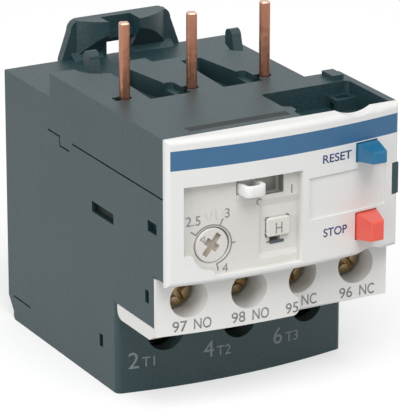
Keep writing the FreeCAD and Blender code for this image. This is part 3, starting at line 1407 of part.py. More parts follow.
def comb_slide(name, low):
    """A flat slide with one slot around each bimetal strip."""
    piece = Piece(name)
    half = STRIP_HALF + S.slot_gap
    rim = half + S.slide_rim
    y = behind(S.strip_depth)
    high = low + S.slide_thickness
    piece.pad("plan", low, high,
              rectangle(SLIDE_ENDS[0], y - rim, SLIDE_ENDS[1], y + rim))
    side = S.strip_thickness / 2 + S.slot_gap
    slot = piece.pocket("plan", low - S.wall, high + S.wall,
                        rectangle(POLES[0] - side - S.slide_travel, y - half,
                                  POLES[0] + side, y + half))
    piece.row([slot], "X_Axis", len(POLES), POLE_PITCH * 2)
    return piece


def slides():
    """The tripping slide, the differential slide over it and the small lever on both."""
    y = behind(S.strip_depth)
    rim = STRIP_HALF + S.slot_gap + S.slide_rim
    lever_x = POLES[1] + POLE_PITCH / 2
    pivot_y = y - STRIP_HALF * 0.8
    pin_y = y + STRIP_HALF * 0.8
    piece = comb_slide("tripping_slide", SLIDE_LOW)
    finger_end = SLIDE_ENDS[1] - S.dial_gap
    piece.pad("plan", SLIDE_LOW + S.slide_thickness / 2, LEVER_LOW + S.lever_thickness * 0.7,
              rectangle(finger_end - S.slide_rim * 1.5, y - rim, finger_end,
                        y - rim + S.slide_rim * 0.8))
    piece.pocket("plan", SLIDE_LOW - S.wall, SLIDE_LOW + S.slide_thickness + S.wall,
                 (lever_x, pivot_y, PEG + S.running_gap))
    node(piece.body, "tripping_slide")
    upper = comb_slide("differential_slide", DIFFERENTIAL_LOW)
    top = DIFFERENTIAL_LOW + S.slide_thickness
    upper.pocket("plan", DIFFERENTIAL_LOW - S.wall, top + S.wall,
                 rectangle(finger_end - S.slide_rim * 2, y - rim - S.wall,
                           SLIDE_ENDS[1] + S.wall, y - rim + S.slide_rim * 1.3))
    for place_y in (pivot_y, pin_y):
        upper.pocket("plan", DIFFERENTIAL_LOW - S.wall, top + S.wall,
                     (lever_x, place_y, PEG + S.dial_gap))
    node(upper.body, "differential_slide")
    lever = Piece("differential_lever")
    low = top + S.slide_spacing
    high = low + S.slide_thickness * 0.8
    half = S.lever_width * 0.7
    lever.pad("plan", low, high, rectangle(lever_x - half, pivot_y, lever_x + half, pin_y))
    for end_y in (pivot_y, pin_y):
        lever.pad("plan", low, high, (lever_x, end_y, half))
    lever.pad("plan", SLIDE_LOW, high, (lever_x, pivot_y, PEG))
    lever.pad("plan", DIFFERENTIAL_LOW, high, (lever_x, pin_y, PEG))
    node(lever.body, "differential_lever")


def contact_rocker():
    """The rocker that opens the closed pair of contacts and closes the open pair."""
    x = ROCKER_PLACE
    z = ROCKER_HEIGHT
    front = behind(S.rocker_depth) - S.pivot_radius
    back = behind(S.rocker_depth) + S.pivot_radius
    low = CONTACT_HEIGHT + S.contact_gap + S.bridge_thickness - z
    high = low + S.bridge_thickness * 2
    arm = AUX_PITCH * 1.4
    cosine = S.rocker_angle.cosine()
    sine = S.rocker_angle.sine()

    def raised(corners):
        return [(x + along * cosine + rise * sine, z + rise * cosine - along * sine)
                for along, rise in corners]

    piece = Piece("contact_rocker")
    piece.pad("front", front, back, rectangle(x, z + low, x + arm, z + high))
    piece.pad("front", front, back, raised(rectangle(-arm, low, 0, high)))
    piece.pad("front", front - S.pivot_radius / 2, back + S.pivot_radius / 2,
              (x, z, S.pivot_radius * 1.9))
    piece.pocket("front", front - S.wall, back + S.wall,
                 (x, z, S.pivot_radius + S.running_gap))
    node(piece.body, "contact_rocker")
    wide_front = front - S.contact_gap * 8
    wide_back = back + S.contact_gap * 8
    near_end = AUX_PITCH * 0.5 - S.tab_width / 2
    far_end = AUX_PITCH * 1.5 + S.tab_width / 2
    under = low - S.bridge_thickness
    closed = Piece("nc_contact_bridge")
    closed.pad("front", wide_front, wide_back,
               rectangle(x + near_end, z + under, x + far_end, z + low))
    node(closed.body, "nc_contact_bridge")
    opened = Piece("no_contact_bridge")
    opened.pad("front", wide_front, wide_back,
               raised(rectangle(-far_end, under, -near_end, low)))
    node(opened.body, "no_contact_bridge")
    wall = behind(S.step_depth)
    pin = rod("contact_rocker_pivot", "y", (x, front - S.pivot_radius, z), S.pivot_radius,
              wall - front + S.pivot_radius)
    node(pin, "contact_rocker_pivot")


front_housing()
rear_housing()
front_cover()
auxiliary_terminal_block()
setting_dial()
trip_indicator()
reset_mode_selector()
button("reset_button", S.reset_low, S.reset_height, S.reset_reach, S.reset_axis)
button("stop_button", S.stop_low, S.stop_height, S.stop_reach, S.stop_axis)
button_spring("reset_button_spring", S.reset_axis)
button_spring("stop_button_spring", S.stop_axis)
for pole in (1, 2, 3):
    power_pin(pole)
    heater_lead(pole)
    thermal_element(pole)
    output_terminal(pole)
screws("power_terminal_screws", POLES, POWER_HEAD, (S.power_head_radius, S.power_head_height),
       S.power_thread_radius, S.well_height, BUS_FACE + S.bus_thickness * 2, 35)
washers("power_clamp_washers", POLES, behind(S.clamp_front), S.clamp_thickness, S.clamp_size,
        S.well_height, S.power_thread_radius + S.running_gap)
screws("aux_terminal_screws", AUX_PLACES, AUX_HEAD, (S.aux_head_radius, S.aux_head_height),
       S.aux_thread_radius, AUX_HEIGHT, AUX_PLATE + S.aux_plate * 2, 20)
washers("aux_clamp_washers", AUX_PLACES, AUX_WASHER, S.aux_washer, S.aux_washer_size,
        AUX_HEIGHT, S.aux_thread_radius + S.running_gap)
for mark, terminal_place in zip((97, 98, 95, 96), AUX_PLACES):
    aux_terminal(mark, terminal_place)
compensation_lever()
trip_lever()
slides()
contact_rocker()


# --- checks and files --------------------------------------------------------------------

doc.recompute()
for thing in doc.Objects:
    if "Invalid" in thing.State or "Error" in thing.State:
        raise ValueError(f"{thing.Label} failed: {thing.State}")
for thing in NODES:
    if thing.Shape.isNull() or not thing.Shape.isValid():
        raise ValueError(f"{thing.Label} has no valid shape")
os.makedirs("parts", exist_ok=True)
for thing in NODES:
    thing.Shape.exportStep(f"parts/{thing.Label}.step")
print(len(NODES), "pieces")
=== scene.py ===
import math

import bpy
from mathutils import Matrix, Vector


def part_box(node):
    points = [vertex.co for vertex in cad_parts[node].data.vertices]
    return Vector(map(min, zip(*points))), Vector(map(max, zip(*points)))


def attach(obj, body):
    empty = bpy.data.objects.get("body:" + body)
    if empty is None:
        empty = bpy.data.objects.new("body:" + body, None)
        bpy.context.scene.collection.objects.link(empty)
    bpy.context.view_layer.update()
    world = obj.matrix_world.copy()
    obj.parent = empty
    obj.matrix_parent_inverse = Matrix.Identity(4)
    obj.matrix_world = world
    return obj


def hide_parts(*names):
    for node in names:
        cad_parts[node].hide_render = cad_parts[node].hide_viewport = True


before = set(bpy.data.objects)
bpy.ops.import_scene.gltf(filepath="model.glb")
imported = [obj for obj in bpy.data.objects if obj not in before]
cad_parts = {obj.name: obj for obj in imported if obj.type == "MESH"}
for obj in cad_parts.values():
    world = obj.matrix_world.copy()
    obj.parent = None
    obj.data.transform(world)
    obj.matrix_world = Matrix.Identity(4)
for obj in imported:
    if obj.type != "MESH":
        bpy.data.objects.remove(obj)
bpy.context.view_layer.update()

MM = 0.001

# --- Studio ------------------------------------------------------------------------------
# A pale table top that runs on behind the relay, a soft lamp high in front, a second one
# farther out on the left and an even white surround. The table is not part of the relay.

scene = bpy.context.scene
scene.view_settings.view_transform = "Standard"


class Shade:
    """One socket of a node tree. Sums, products and comparisons on it add Math nodes."""

    def __init__(self, tree, socket):
        self.tree = tree
        self.socket = socket

    def node(self, kind, settings, values, output=0):
        """Adds a node of a type, with its settings first and then its sockets' values."""
        made = self.tree.nodes.new(kind)
        for name, setting in settings.items():
            setattr(made, name, setting)
        for name, value in values.items():
            if isinstance(value, Shade):
                self.tree.links.new(value.socket, made.inputs[name])
            else:
                made.inputs[name].default_value = value
        return Shade(self.tree, made.outputs[output])

    def maths(self, operation, *values):
        return self.node("ShaderNodeMath", {"operation": operation}, dict(enumerate(values)))

    def __add__(self, other):
        return self.maths("ADD", self, other)

    def __sub__(self, other):
        return self.maths("SUBTRACT", self, other)

    def __mul__(self, other):
        return self.maths("MULTIPLY", self, other)

    def __gt__(self, other):
        return self.maths("GREATER_THAN", self, other)

    def __lt__(self, other):
        return self.maths("LESS_THAN", self, other)

    __radd__ = __add__
    __rmul__ = __mul__

    def clamped(self):
        return self.node("ShaderNodeClamp", {}, {0: self})

    def axis(self, number):
        return self.node("ShaderNodeSeparateXYZ", {}, {0: self}, output=number)

    def scaled(self, x, y, z):
        """The same coordinates stretched along each axis."""
        return self.node("ShaderNodeMapping", {}, {"Vector": self, "Scale": (x, y, z)})

    def noise(self, scale, detail=2.0, roughness=0.5):
        return self.node("ShaderNodeTexNoise", {},
                         {"Vector": self, "Scale": scale, "Detail": detail,
                          "Roughness": roughness})

    def mix(self, first, second):
        """From the first colour to the second, as this factor goes from 0 to 1."""
        colours = {}
        for name, colour in ((6, first), (7, second)):
            colours[name] = colour if isinstance(colour, Shade) else (*colour, 1)
        return self.node("ShaderNodeMix", {"data_type": "RGBA"}, {0: self, **colours}, output=2)

    def bump(self, height, strength=1.0):
        """A normal from a relief in this socket, whose full range is height in metres."""
        return self.node("ShaderNodeBump", {},
                         {"Height": self, "Distance": height, "Strength": strength})


def start_material(name):
    """A new material: its surface shader, and Object coordinates to draw patterns on."""
    material = bpy.data.materials.new(name)
    material.use_nodes = True
    tree = material.node_tree
    surface = tree.nodes["Principled BSDF"]
    coordinates = tree.nodes.new("ShaderNodeTexCoord")
    return material, surface, Shade(tree, coordinates.outputs["Object"])


def set_surface(surface, values):
    """Gives the surface shader its values, and links to what changes over the surface."""
    for name, value in values.items():
        if isinstance(value, Shade):
            value.tree.links.new(value.socket, surface.inputs[name])
        elif isinstance(value, tuple):
            surface.inputs[name].default_value = (*value, 1)
        else:
            surface.inputs[name].default_value = value


def only(thing):
    """Makes one object the whole selection."""
    bpy.ops.object.select_all(action="DESELECT")
    thing.select_set(True)
    bpy.context.view_layer.objects.active = thing


bpy.ops.object.select_all(action="DESELECT")
bpy.ops.mesh.primitive_plane_add(size=8, location=(0, 0, 0))
floor = bpy.context.object
floor.name = "table_top"
material, surface, place = start_material("table_paint")
mottle = place.noise(3.0, 3.0)
set_surface(surface, {"Base Color": mottle.mix((0.5, 0.5, 0.5), (0.54, 0.54, 0.54)),
                      "Roughness": 0.9, "Specular IOR Level": 0.1})
path = surface.id_data.nodes.new("ShaderNodeLightPath")
seen = Shade(surface.id_data, path.outputs["Is Camera Ray"])
seen_in_gloss = Shade(surface.id_data, path.outputs["Is Glossy Ray"])
table_glow = 0.52
lift = (seen + seen_in_gloss).clamped() * table_glow
surface.inputs["Emission Color"].default_value = (1, 1, 1, 1)
surface.id_data.links.new(lift.socket, surface.inputs["Emission Strength"])
floor.data.materials.append(material)

world = bpy.data.worlds.new("surround")
scene.world = world
world.use_nodes = True
tree = world.node_tree
background = tree.nodes["Background"]
path = tree.nodes.new("ShaderNodeLightPath")
direct = Shade(tree, path.outputs["Is Camera Ray"])
glossy = Shade(tree, path.outputs["Is Glossy Ray"])
through = Shade(tree, path.outputs["Is Transmission Ray"])
background.inputs["Color"].default_value = (1, 1, 1, 1)
dimmed = 0.51
strength = (direct + through + glossy).clamped() * (1 - dimmed) + dimmed
tree.links.new(strength.socket, background.inputs["Strength"])


def lamp(name, location, target, size, power):
    """A square soft lamp that faces a point."""
    light = bpy.data.lights.new(name, "AREA")
    light.shape = "SQUARE"
    light.size = size
    light.energy = power
    thing = bpy.data.objects.new(name, light)
    scene.collection.objects.link(thing)
    thing.location = location
    aim = Vector(target) - Vector(location)
    thing.rotation_euler = aim.to_track_quat("-Z", "Y").to_euler()


middle = Vector((0, 0, 0.03))
lamp("key_lamp", (-0.12, -0.55, 0.85), middle, 0.6, 6.3)
lamp("side_lamp", (-0.95, -0.3, 0.35), middle, 0.6, 3.6)

camera = bpy.data.cameras.new("camera")
camera.lens = 305.08
camera.sensor_width = 36
view = bpy.data.objects.new("camera", camera)
scene.collection.objects.link(view)
view.location = (-0.27878, -0.50929, 0.23289)
view.rotation_euler = (math.radians(70.54), 0, math.radians(-28.62))
scene.camera = view

# --- Housings ----------------------------------------------------------------------------
# The two halves of the case: glass-filled polyamide, moulded in charcoal grey with a fine
# spark-eroded grain. The rear half carries the hook and the posts and clips on the front.


def dress(material, *names):
    """Gives CAD nodes their material."""
    for name in names:
        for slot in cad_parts[name].material_slots:
            slot.material = material


material, surface, place = start_material("charcoal_polyamide")
fibres = place.noise(1900, 3, 0.65)
clouds = place.noise(70, 3, 0.6)
grain = place.noise(4200, 2, 0.5)
tone = (fibres * 0.7 + grain * 0.8 + clouds * 0.3 - 0.45).clamped()
case_low, case_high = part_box("front_housing")
# Painted shade: the case is darkened deep inside the windows of its left side, in the shallow
# pocket for the date code on top and along the shallow crease of the left wall. There it is also
# a little rougher.
side_recess_shade = ((place.axis(0) > case_low.x + 0.45 * MM)
                * (place.axis(0) < case_low.x + 4 * MM)
                * (place.axis(1) > case_low.y + 8 * MM) * (place.axis(1) < case_high.y - 1 * MM)
                * (place.axis(2) < case_high.z - 2 * MM) * (place.axis(2) > 18 * MM))
date_pocket_shade = ((place.axis(0) > case_low.x + 6 * MM) * (place.axis(0) < case_low.x + 25.4 * MM)
              * (place.axis(1) > case_low.y + 2.9 * MM) * (place.axis(1) < case_low.y + 5 * MM)
              * (place.axis(2) > 50 * MM))
crease_place = (place.axis(2) - 33.4 * MM).maths("MAXIMUM", 0.0) + place.axis(1)
crease_shade = ((crease_place > 24.2 * MM) * (crease_place < 24.42 * MM)
          * (place.axis(0) < case_low.x + 0.05 * MM)
          * (place.axis(2) > 14.4 * MM) * (place.axis(2) < 41 * MM))
painted_shade = (side_recess_shade + date_pocket_shade + crease_shade * 0.6).clamped() * 0.85
set_surface(surface, {
    "Base Color": painted_shade.mix(tone.mix((0.002, 0.018, 0.022), (0.034, 0.075, 0.085)),
                            (0.006, 0.009, 0.01)),
    "Roughness": fibres * 0.2 + 0.34 + painted_shade * 0.25,
    "Specular IOR Level": 0.5,
    "Normal": (fibres + grain).bump(0.00007, 0.6),
})
dress(material, "front_housing", "rear_housing")

# --- Front cover -------------------------------------------------------------------------
# The snap-on front: smooth white polycarbonate, moulded in one piece, with a sunk setting
# panel on its left. A blue band is printed along its upper part and left without words.

cover_low, cover_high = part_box("front_cover")
cover_left = cover_low.x
half_width = cover_high.x
cover_bow = 2.1 * MM
panel_sink = 1.5 * MM
band_low = 46.2 * MM
band_high = 49.65 * MM
band_start = cover_left + 0.7 * MM
panel_left = cover_left + 3.0 * MM
panel_right = cover_left + 24.9 * MM
panel_low = 26.8 * MM
panel_high = 43.1 * MM


def white_plastic(name, colour, warm):
    """White moulded plastic: faint clouds, a soft gloss and a very fine grain."""
    material, surface, place = start_material(name)
    clouds = place.noise(120, 3, 0.6)
    grain = place.noise(2600, 2, 0.5)
    tone = (clouds * 0.8 + grain * 0.4 - 0.1).clamped()
    set_surface(surface, {
        "Base Color": tone.mix(warm, colour),
        "Roughness": clouds * 0.12 + 0.36,
        "Specular IOR Level": 0.4,
        "Normal": grain.bump(0.000012, 0.4),
    })
    return material, surface, place, tone


material, surface, place, tone = white_plastic("cover_white", (0.8, 0.8, 0.79),
                                               (0.76, 0.76, 0.75))
height = place.axis(2)
in_band = (height > band_low) * (height < band_high) * (place.axis(0) > band_start)
outside = place.axis(1) < cover_high.y - 1.3 * MM
printed = in_band * outside
paint = tone.mix((0.034, 0.12, 0.24), (0.05, 0.15, 0.285))
across = place.axis(0) * (1 / half_width)
floor_depth = across * across * cover_bow + (cover_low.y + panel_sink)
below_face = place.axis(1) > floor_depth - 0.7 * MM
in_panel = ((place.axis(0) > panel_left - 0.2 * MM) * (place.axis(0) < panel_right + 0.2 * MM)
            * (height > panel_low - 0.2 * MM) * (height < panel_high + 0.2 * MM)
            * outside * below_face)
in_window = ((place.axis(0) > cover_left + 17.2 * MM) * (place.axis(0) < cover_left + 22.4 * MM)
             * (height > 39.3 * MM) * (height < 43.3 * MM)
             * (place.axis(1) > floor_depth + 0.12 * MM))
# Painted shade: the inner walls of the window are darkened. The sunk panel's floor is only a
# little greyer than the face.
panel_tint_and_window_shade = in_window.mix(tone.mix((0.63, 0.62, 0.585), (0.69, 0.68, 0.645)), (0.27, 0.265, 0.24))
white = tone.mix((0.72, 0.725, 0.71), (0.79, 0.795, 0.78))
set_surface(surface, {"Base Color": printed.mix(in_panel.mix(white, panel_tint_and_window_shade), paint)})
dress(material, "front_cover")

dress(white_plastic("terminal_white", (0.8, 0.795, 0.775), (0.75, 0.745, 0.72))[0],
      "auxiliary_terminal_block")

# --- Setting dial ------------------------------------------------------------------------
# The current dial: pale acetal with a cross recess for a screwdriver and a bevelled rim.
# It turns in a close ring of the cover, and its stem reaches back to the cam.


def pick(thing, test):
    """Enters edit mode with only those faces selected whose middle and normal pass a test."""
    only(thing)
    bpy.ops.object.mode_set(mode="EDIT")
    bpy.ops.mesh.select_mode(type="FACE")
    bpy.ops.mesh.select_all(action="DESELECT")
    bpy.ops.object.mode_set(mode="OBJECT")
    for face in thing.data.polygons:
        face.select = test(face.center, face.normal)
    bpy.ops.object.mode_set(mode="EDIT")


def disc(name, x, front, z, radius, thickness, sides=96):
    """A round blank whose axis lies along Y, its front face at a given depth."""
    bpy.ops.object.select_all(action="DESELECT")
    bpy.ops.mesh.primitive_cylinder_add(vertices=sides, radius=radius, depth=thickness,
                                        location=(x, front + thickness / 2, z),
                                        rotation=(math.radians(90), 0, 0))
    blank = bpy.context.object
    blank.name = name
    bpy.ops.object.transform_apply(location=True, rotation=True, scale=True)
    return blank


def block(name, middle, size, turn=0.0):
    """A box with a given middle and size, turned about the Y direction."""
    bpy.ops.object.select_all(action="DESELECT")
    bpy.ops.mesh.primitive_cube_add(size=1, location=middle,
                                    rotation=(0, -math.radians(turn), 0))
    box = bpy.context.object
    box.name = name
    box.scale = size
    bpy.ops.object.transform_apply(location=True, rotation=True, scale=True)
    return box


def round_edges(thing, width, segments, test=None):
    """Bevels the edges that pass a test of their two ends, or every edge."""
    only(thing)
    bpy.ops.object.mode_set(mode="EDIT")
    bpy.ops.mesh.select_mode(type="EDGE")
    bpy.ops.mesh.select_all(action="DESELECT" if test else "SELECT")
    bpy.ops.object.mode_set(mode="OBJECT")
    if test:
        points = thing.data.vertices
        for edge in thing.data.edges:
            edge.select = test(points[edge.vertices[0]].co, points[edge.vertices[1]].co)
    bpy.ops.object.mode_set(mode="EDIT")
    bpy.ops.mesh.bevel(offset=width, segments=segments, affect="EDGES")
    bpy.ops.object.mode_set(mode="OBJECT")


def cut(thing, punch):
    """Cuts a punch out of a piece and takes the punch away."""
    only(thing)
    recess = thing.modifiers.new("recess", "BOOLEAN")
    recess.object = punch
    recess.operation = "DIFFERENCE"
    recess.solver = "EXACT"
    bpy.ops.object.modifier_apply(modifier=recess.name)
    bpy.data.objects.remove(punch)


def sink_bar(thing, x, front, z, length, width, depth, turn):
    """Sinks a bar-shaped recess into a front face."""
    punch = block("punch", (x, front, z), (length, depth * 2, width), turn)
    round_edges(punch, width * 0.08, 1)
    cut(thing, punch)


def finish_piece(thing, material, body):
    """Gives a modelled piece its smooth shading, material, body and slot."""
    only(thing)
    bpy.ops.object.shade_smooth_by_angle(angle=math.radians(32))
    thing.data.materials.clear()
    thing.data.materials.append(material)
    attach(thing, body)


dial_low, dial_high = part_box("setting_dial")
dial_x = (dial_low.x + dial_high.x) / 2
dial_z = (dial_low.z + dial_high.z) / 2


def panel_depth_at(x):
    """Where the bowed floor of the setting panel lies at a place across the cover."""
    return cover_low.y + cover_bow * (x / half_width) ** 2 + panel_sink


dial_thickness = 0.66 * MM
dial_rim = 0.14 * MM
dial_front = panel_depth_at(dial_x) + 0.15 * MM
dial = disc("setting_dial_detail", dial_x + 0.06 * MM, dial_front, dial_z - 0.1 * MM,
            3.06 * MM, dial_thickness)
pick(dial, lambda middle, normal: normal.y > 0.9)
bpy.ops.mesh.inset(thickness=1.55 * MM)
bpy.ops.mesh.extrude_region_move(
    TRANSFORM_OT_translate={"value": (0, dial_high.y - dial_front - dial_thickness, 0)})
bpy.ops.object.mode_set(mode="OBJECT")
pick(dial, lambda middle, normal: normal.y < -0.9)
bpy.ops.mesh.inset(thickness=0.2 * MM)
bpy.ops.transform.translate(value=(0, -dial_rim, 0))
bpy.ops.object.mode_set(mode="OBJECT")
dial_front = dial_front - dial_rim
sink_bar(dial, dial_x, dial_front, dial_z, 4.5 * MM, 1.15 * MM, 0.62 * MM, 51)
sink_bar(dial, dial_x, dial_front, dial_z, 2.9 * MM, 1.3 * MM, 0.62 * MM, 141)
sink_bar(dial, dial_x, dial_front, dial_z, 1.75 * MM, 1.75 * MM, 0.6 * MM, 6)
material, surface, place, tone = white_plastic("dial_acetal", (0.7, 0.68, 0.65),
                                               (0.64, 0.62, 0.59))
# Painted shade: the floor and walls of the cross recess are a darker tan than the dial.
recess_shade = ((place.axis(1) > dial_front + 0.12 * MM)
            * ((place.axis(0) - dial_x) * (place.axis(0) - dial_x)
               + (place.axis(2) - dial_z) * (place.axis(2) - dial_z) < (2.7 * MM) ** 2))
acetal = tone.mix((0.66, 0.635, 0.61), (0.72, 0.7, 0.67))
set_surface(surface, {"Base Color": recess_shade.mix(acetal, (0.42, 0.375, 0.31))})
finish_piece(dial, material, "dial")
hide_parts("setting_dial")
dress(material, "setting_cam")

# The smooth ring of the cover that the dial turns in. It bows with the floor of the panel
# and stands a hair in front of it.


def open_ring(name, middle, radius, insets, sides=144, turn=0.0):
    """A flat ring that faces forwards: a filled outline, inset and without its middle."""
    bpy.ops.object.select_all(action="DESELECT")
    bpy.ops.mesh.primitive_circle_add(vertices=sides, radius=radius, fill_type="NGON",
                                      location=middle,
                                      rotation=(math.radians(90), math.radians(turn), 0))
    ring = bpy.context.object
    ring.name = name
    bpy.ops.object.transform_apply(location=True, rotation=True, scale=True)
    bpy.ops.object.mode_set(mode="EDIT")
    for thickness in insets:
        bpy.ops.mesh.inset(thickness=thickness)
    bpy.ops.mesh.delete(type="FACE")
    bpy.ops.mesh.select_all(action="DESELECT")
    bpy.ops.object.mode_set(mode="OBJECT")
    return ring


dial_ring = open_ring("dial_surround", (dial_x, 0, dial_z), 6.75 * MM, (1.75 * MM, 1.75 * MM))
hair = 0.004 * MM
for corner in dial_ring.data.vertices:
    corner.co.y = panel_depth_at(corner.co.x) - hair
wall = dial_ring.modifiers.new("wall", "SOLIDIFY")
wall.thickness = 0.5 * MM
wall.offset = -1
only(dial_ring)
bpy.ops.object.modifier_apply(modifier=wall.name)
cover_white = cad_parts["front_cover"].material_slots[0].material
finish_piece(dial_ring, cover_white, "housing")

# --- Trip indicator and its carriage -----------------------------------------------------
# The white D-shaped flag that slides in the window when the relay trips, on a grey
# carriage inside the cover.

flag_white = white_plastic("flag_white", (0.82, 0.82, 0.8), (0.76, 0.76, 0.74))[0]
knob_low, knob_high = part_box("trip_indicator")
knob_size = knob_high - knob_low
knob = block("trip_indicator_detail", (knob_high + knob_low) / 2, knob_size)
round_edges(knob, 1.25 * MM, 5, lambda a, b: abs(a.z - b.z) > 1 * MM
            and max(a.y, b.y) < knob_low.y + 0.1 * MM)
round_edges(knob, 0.22 * MM, 2, lambda a, b: abs(a.z - b.z) < 0.01 * MM
            and min(a.y, b.y) < knob_low.y + 1.3 * MM)
hollow = block("hollow", (knob_low.x + 1.95 * MM, knob_low.y + 2.45 * MM, knob_high.z),
               (2.7 * MM, 3.7 * MM, 2.4 * MM))
round_edges(hollow, 0.9 * MM, 4, lambda a, b: abs(a.z - b.z) > 1 * MM
            and max(a.y, b.y) < knob_low.y + 1.3 * MM)
cut(knob, hollow)
finish_piece(knob, flag_white, "indicator")
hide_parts("trip_indicator")

# The ramps of the cover at the upper and lower end of the selector's sunk column.

ramp_blank = 0.4 * MM
ramp_back = 0.42
for name, deep_end, shallow_end in (("column_ramp_1", 37.3, 38.56),
                                    ("column_ramp_2", 29.0, 28.0)):
    ramp = block(name, (cover_left + 21.1 * MM, panel_depth_at(0) + ramp_blank / 2,
                        (deep_end + shallow_end) / 2 * MM),
                 (7.56 * MM, ramp_blank, abs(shallow_end - deep_end) * MM))
    only(ramp)
    bpy.ops.object.mode_set(mode="EDIT")
    bpy.ops.mesh.select_all(action="SELECT")
    bpy.ops.mesh.subdivide(number_cuts=5)
    bpy.ops.object.mode_set(mode="OBJECT")
    for point in ramp.data.vertices:
        share = (point.co.z / MM - shallow_end) / (deep_end - shallow_end)
        level = (point.co.y - panel_depth_at(0)) / ramp_blank
        front = share * 0.34 + 0.005
        point.co.y = panel_depth_at(point.co.x) + (front + level * (ramp_back - front)) * MM
    finish_piece(ramp, cover_white, "housing")

# The sill of the cover's window under the knob.

sill_low = 38.86
for number, (left, right, top) in enumerate(((13.14, 17.5, 40.05), (17.5, 22.05, 39.3))):
    x = cover_left + (left + right) / 2 * MM
    sill = block(f"window_sill_{number + 1}",
                 (x, panel_depth_at(x) + 0.56 * MM, (sill_low + top) / 2 * MM),
                 ((right - left) * MM, 1.0 * MM, (top - sill_low) * MM))
    round_edges(sill, 0.08 * MM, 2)
    finish_piece(sill, cover_white, "housing")

# The carriage behind the window, with a short apron along its lower front edge.

carriage_grey = white_plastic("carriage_grey", (0.62, 0.615, 0.58), (0.55, 0.545, 0.51))[0]
dress(carriage_grey, "indicator_carriage")
carriage_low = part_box("indicator_carriage")[0]
apron = block("carriage_apron", (carriage_low.x + 7 * MM, carriage_low.y + 0.4 * MM,
                                 carriage_low.z - 0.1 * MM),
              (14 * MM, 0.8 * MM, 1.8 * MM))
pick(apron, lambda middle, normal: normal.y < -0.9)
bpy.ops.mesh.inset(thickness=0.15 * MM)
bpy.ops.transform.translate(value=(0, -0.04 * MM, 0))
bpy.ops.object.mode_set(mode="OBJECT")
finish_piece(apron, carriage_grey, "indicator")

# --- Reset selector ----------------------------------------------------------------------
# The little slide that chooses hand or automatic reset, moulded in off-white plastic. Its
# plate has rounded corners and a bevelled rim, and runs up and down in a slot of the cover.

selector_white = white_plastic("selector_white", (0.7, 0.69, 0.64), (0.64, 0.63, 0.58))[0]
selector_low, selector_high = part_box("reset_mode_selector")
plate_left = selector_low.x + 0.3 * MM
plate_thickness = 0.6 * MM
plate_rim = 0.14 * MM
plate_middle = ((plate_left + selector_high.x) / 2, selector_low.y + plate_thickness / 2,
                selector_low.z + 2.1 * MM)
plate = block("selector_detail", plate_middle,
              (selector_high.x - plate_left, plate_thickness, 3.25 * MM))
round_edges(plate, 0.3 * MM, 3, lambda a, b: abs(a.y - b.y) > 0.1 * MM)
pick(plate, lambda middle, normal: normal.y > 0.9)
bpy.ops.mesh.inset(thickness=1.05 * MM)
bpy.ops.mesh.extrude_region_move(
    TRANSFORM_OT_translate={
        "value": (0, selector_high.y - selector_low.y - plate_thickness, 0)})
bpy.ops.object.mode_set(mode="OBJECT")
pick(plate, lambda middle, normal: normal.y < -0.9)
bpy.ops.mesh.inset(thickness=0.16 * MM)
bpy.ops.object.mode_set(mode="OBJECT")
for corner in plate.data.vertices:
    rim = max(abs(corner.co.x - plate_middle[0]) - (selector_high.x - plate_left) / 2 + 0.1 * MM,
              abs(corner.co.z - plate_middle[2]) - 1.52 * MM, 0)
    if corner.co.y < selector_low.y + 0.1 * MM and rim > 0:
        corner.co.y += plate_rim
finish_piece(plate, selector_white, "selector")
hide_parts("reset_mode_selector")

# --- Buttons -----------------------------------------------------------------------------
# Two glossy push buttons: blue to reset, red to stop. Each plunger runs through a guide
# behind the cover and a steel spring presses it forward.


def glossy_plastic(name, colour, deep):
    """Dyed ABS with a polished skin and faint flow marks."""
    material, surface, place = start_material(name)
    flow = place.scaled(1, 1, 3).noise(300, 3, 0.6)
    set_surface(surface, {
        "Base Color": flow.mix(deep, colour),
        "Roughness": flow * 0.14 + 0.24,
        "Specular IOR Level": 0.45,
        "Normal": flow.bump(0.00002, 0.3),
    })
    return material


dress(glossy_plastic("button_blue", (0.008, 0.16, 0.32), (0.006, 0.13, 0.27)), "reset_button")
dress(glossy_plastic("button_red", (0.84, 0.115, 0.08), (0.76, 0.09, 0.06)), "stop_button")

# --- Power pins --------------------------------------------------------------------------
# Three drawn copper pins that plug into the contactor. Drawing leaves fine lines along
# them, handling a few dents, and the bevelled tips are bright.

pin_low, pin_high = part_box("power_pin_1")
material, surface, place = start_material("drawn_copper")
lines = place.scaled(1, 1, 0.05).noise(2400, 3, 0.6)
stains = place.scaled(1, 1, 0.35).noise(420, 4, 0.6)
dents = place.noise(900, 1, 0.4)
tip = (place.axis(2) > pin_high.z - 0.22 * MM) * 0.6
tone = (lines * 0.5 + stains * 0.9 - 0.2).clamped()
copper = tone.mix((0.26, 0.1, 0.058), (0.56, 0.28, 0.19))
set_surface(surface, {
    "Base Color": tip.mix(copper, (0.86, 0.62, 0.5)),
    "Metallic": 1.0,
    "Roughness": lines * 0.25 + stains * 0.15 + 0.16,
    "Normal": (dents + lines * 0.3).bump(0.00012, 0.5),
})
dress(material, "heater_lead_1", "heater_lead_2", "heater_lead_3")
pin_side = 1.74 * MM
pin_turn = math.radians(16.4)
tip_bevel = 0.2 * MM
pin_middle = (pin_low + pin_high) / 2
first_pin = block("power_pin_detail_1", pin_middle,
                  (pin_side, pin_side, pin_high.z - pin_low.z))
round_edges(first_pin, 0.42 * MM, 3, lambda a, b: abs(a.z - b.z) > 1 * MM)
only(first_pin)
bpy.ops.object.mode_set(mode="EDIT")
bpy.ops.mesh.select_all(action="SELECT")
bpy.ops.transform.rotate(value=pin_turn, orient_axis="Z",
                         center_override=(pin_middle.x, pin_middle.y, pin_middle.z))
bpy.ops.object.mode_set(mode="OBJECT")
pick(first_pin, lambda middle, normal: normal.z > 0.9)
bpy.ops.transform.translate(value=(0, 0, -tip_bevel))
bpy.ops.mesh.inset(thickness=tip_bevel)
bpy.ops.transform.translate(value=(0, 0, tip_bevel))
bpy.ops.object.mode_set(mode="OBJECT")
finish_piece(first_pin, material, "housing")
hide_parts("power_pin_1")


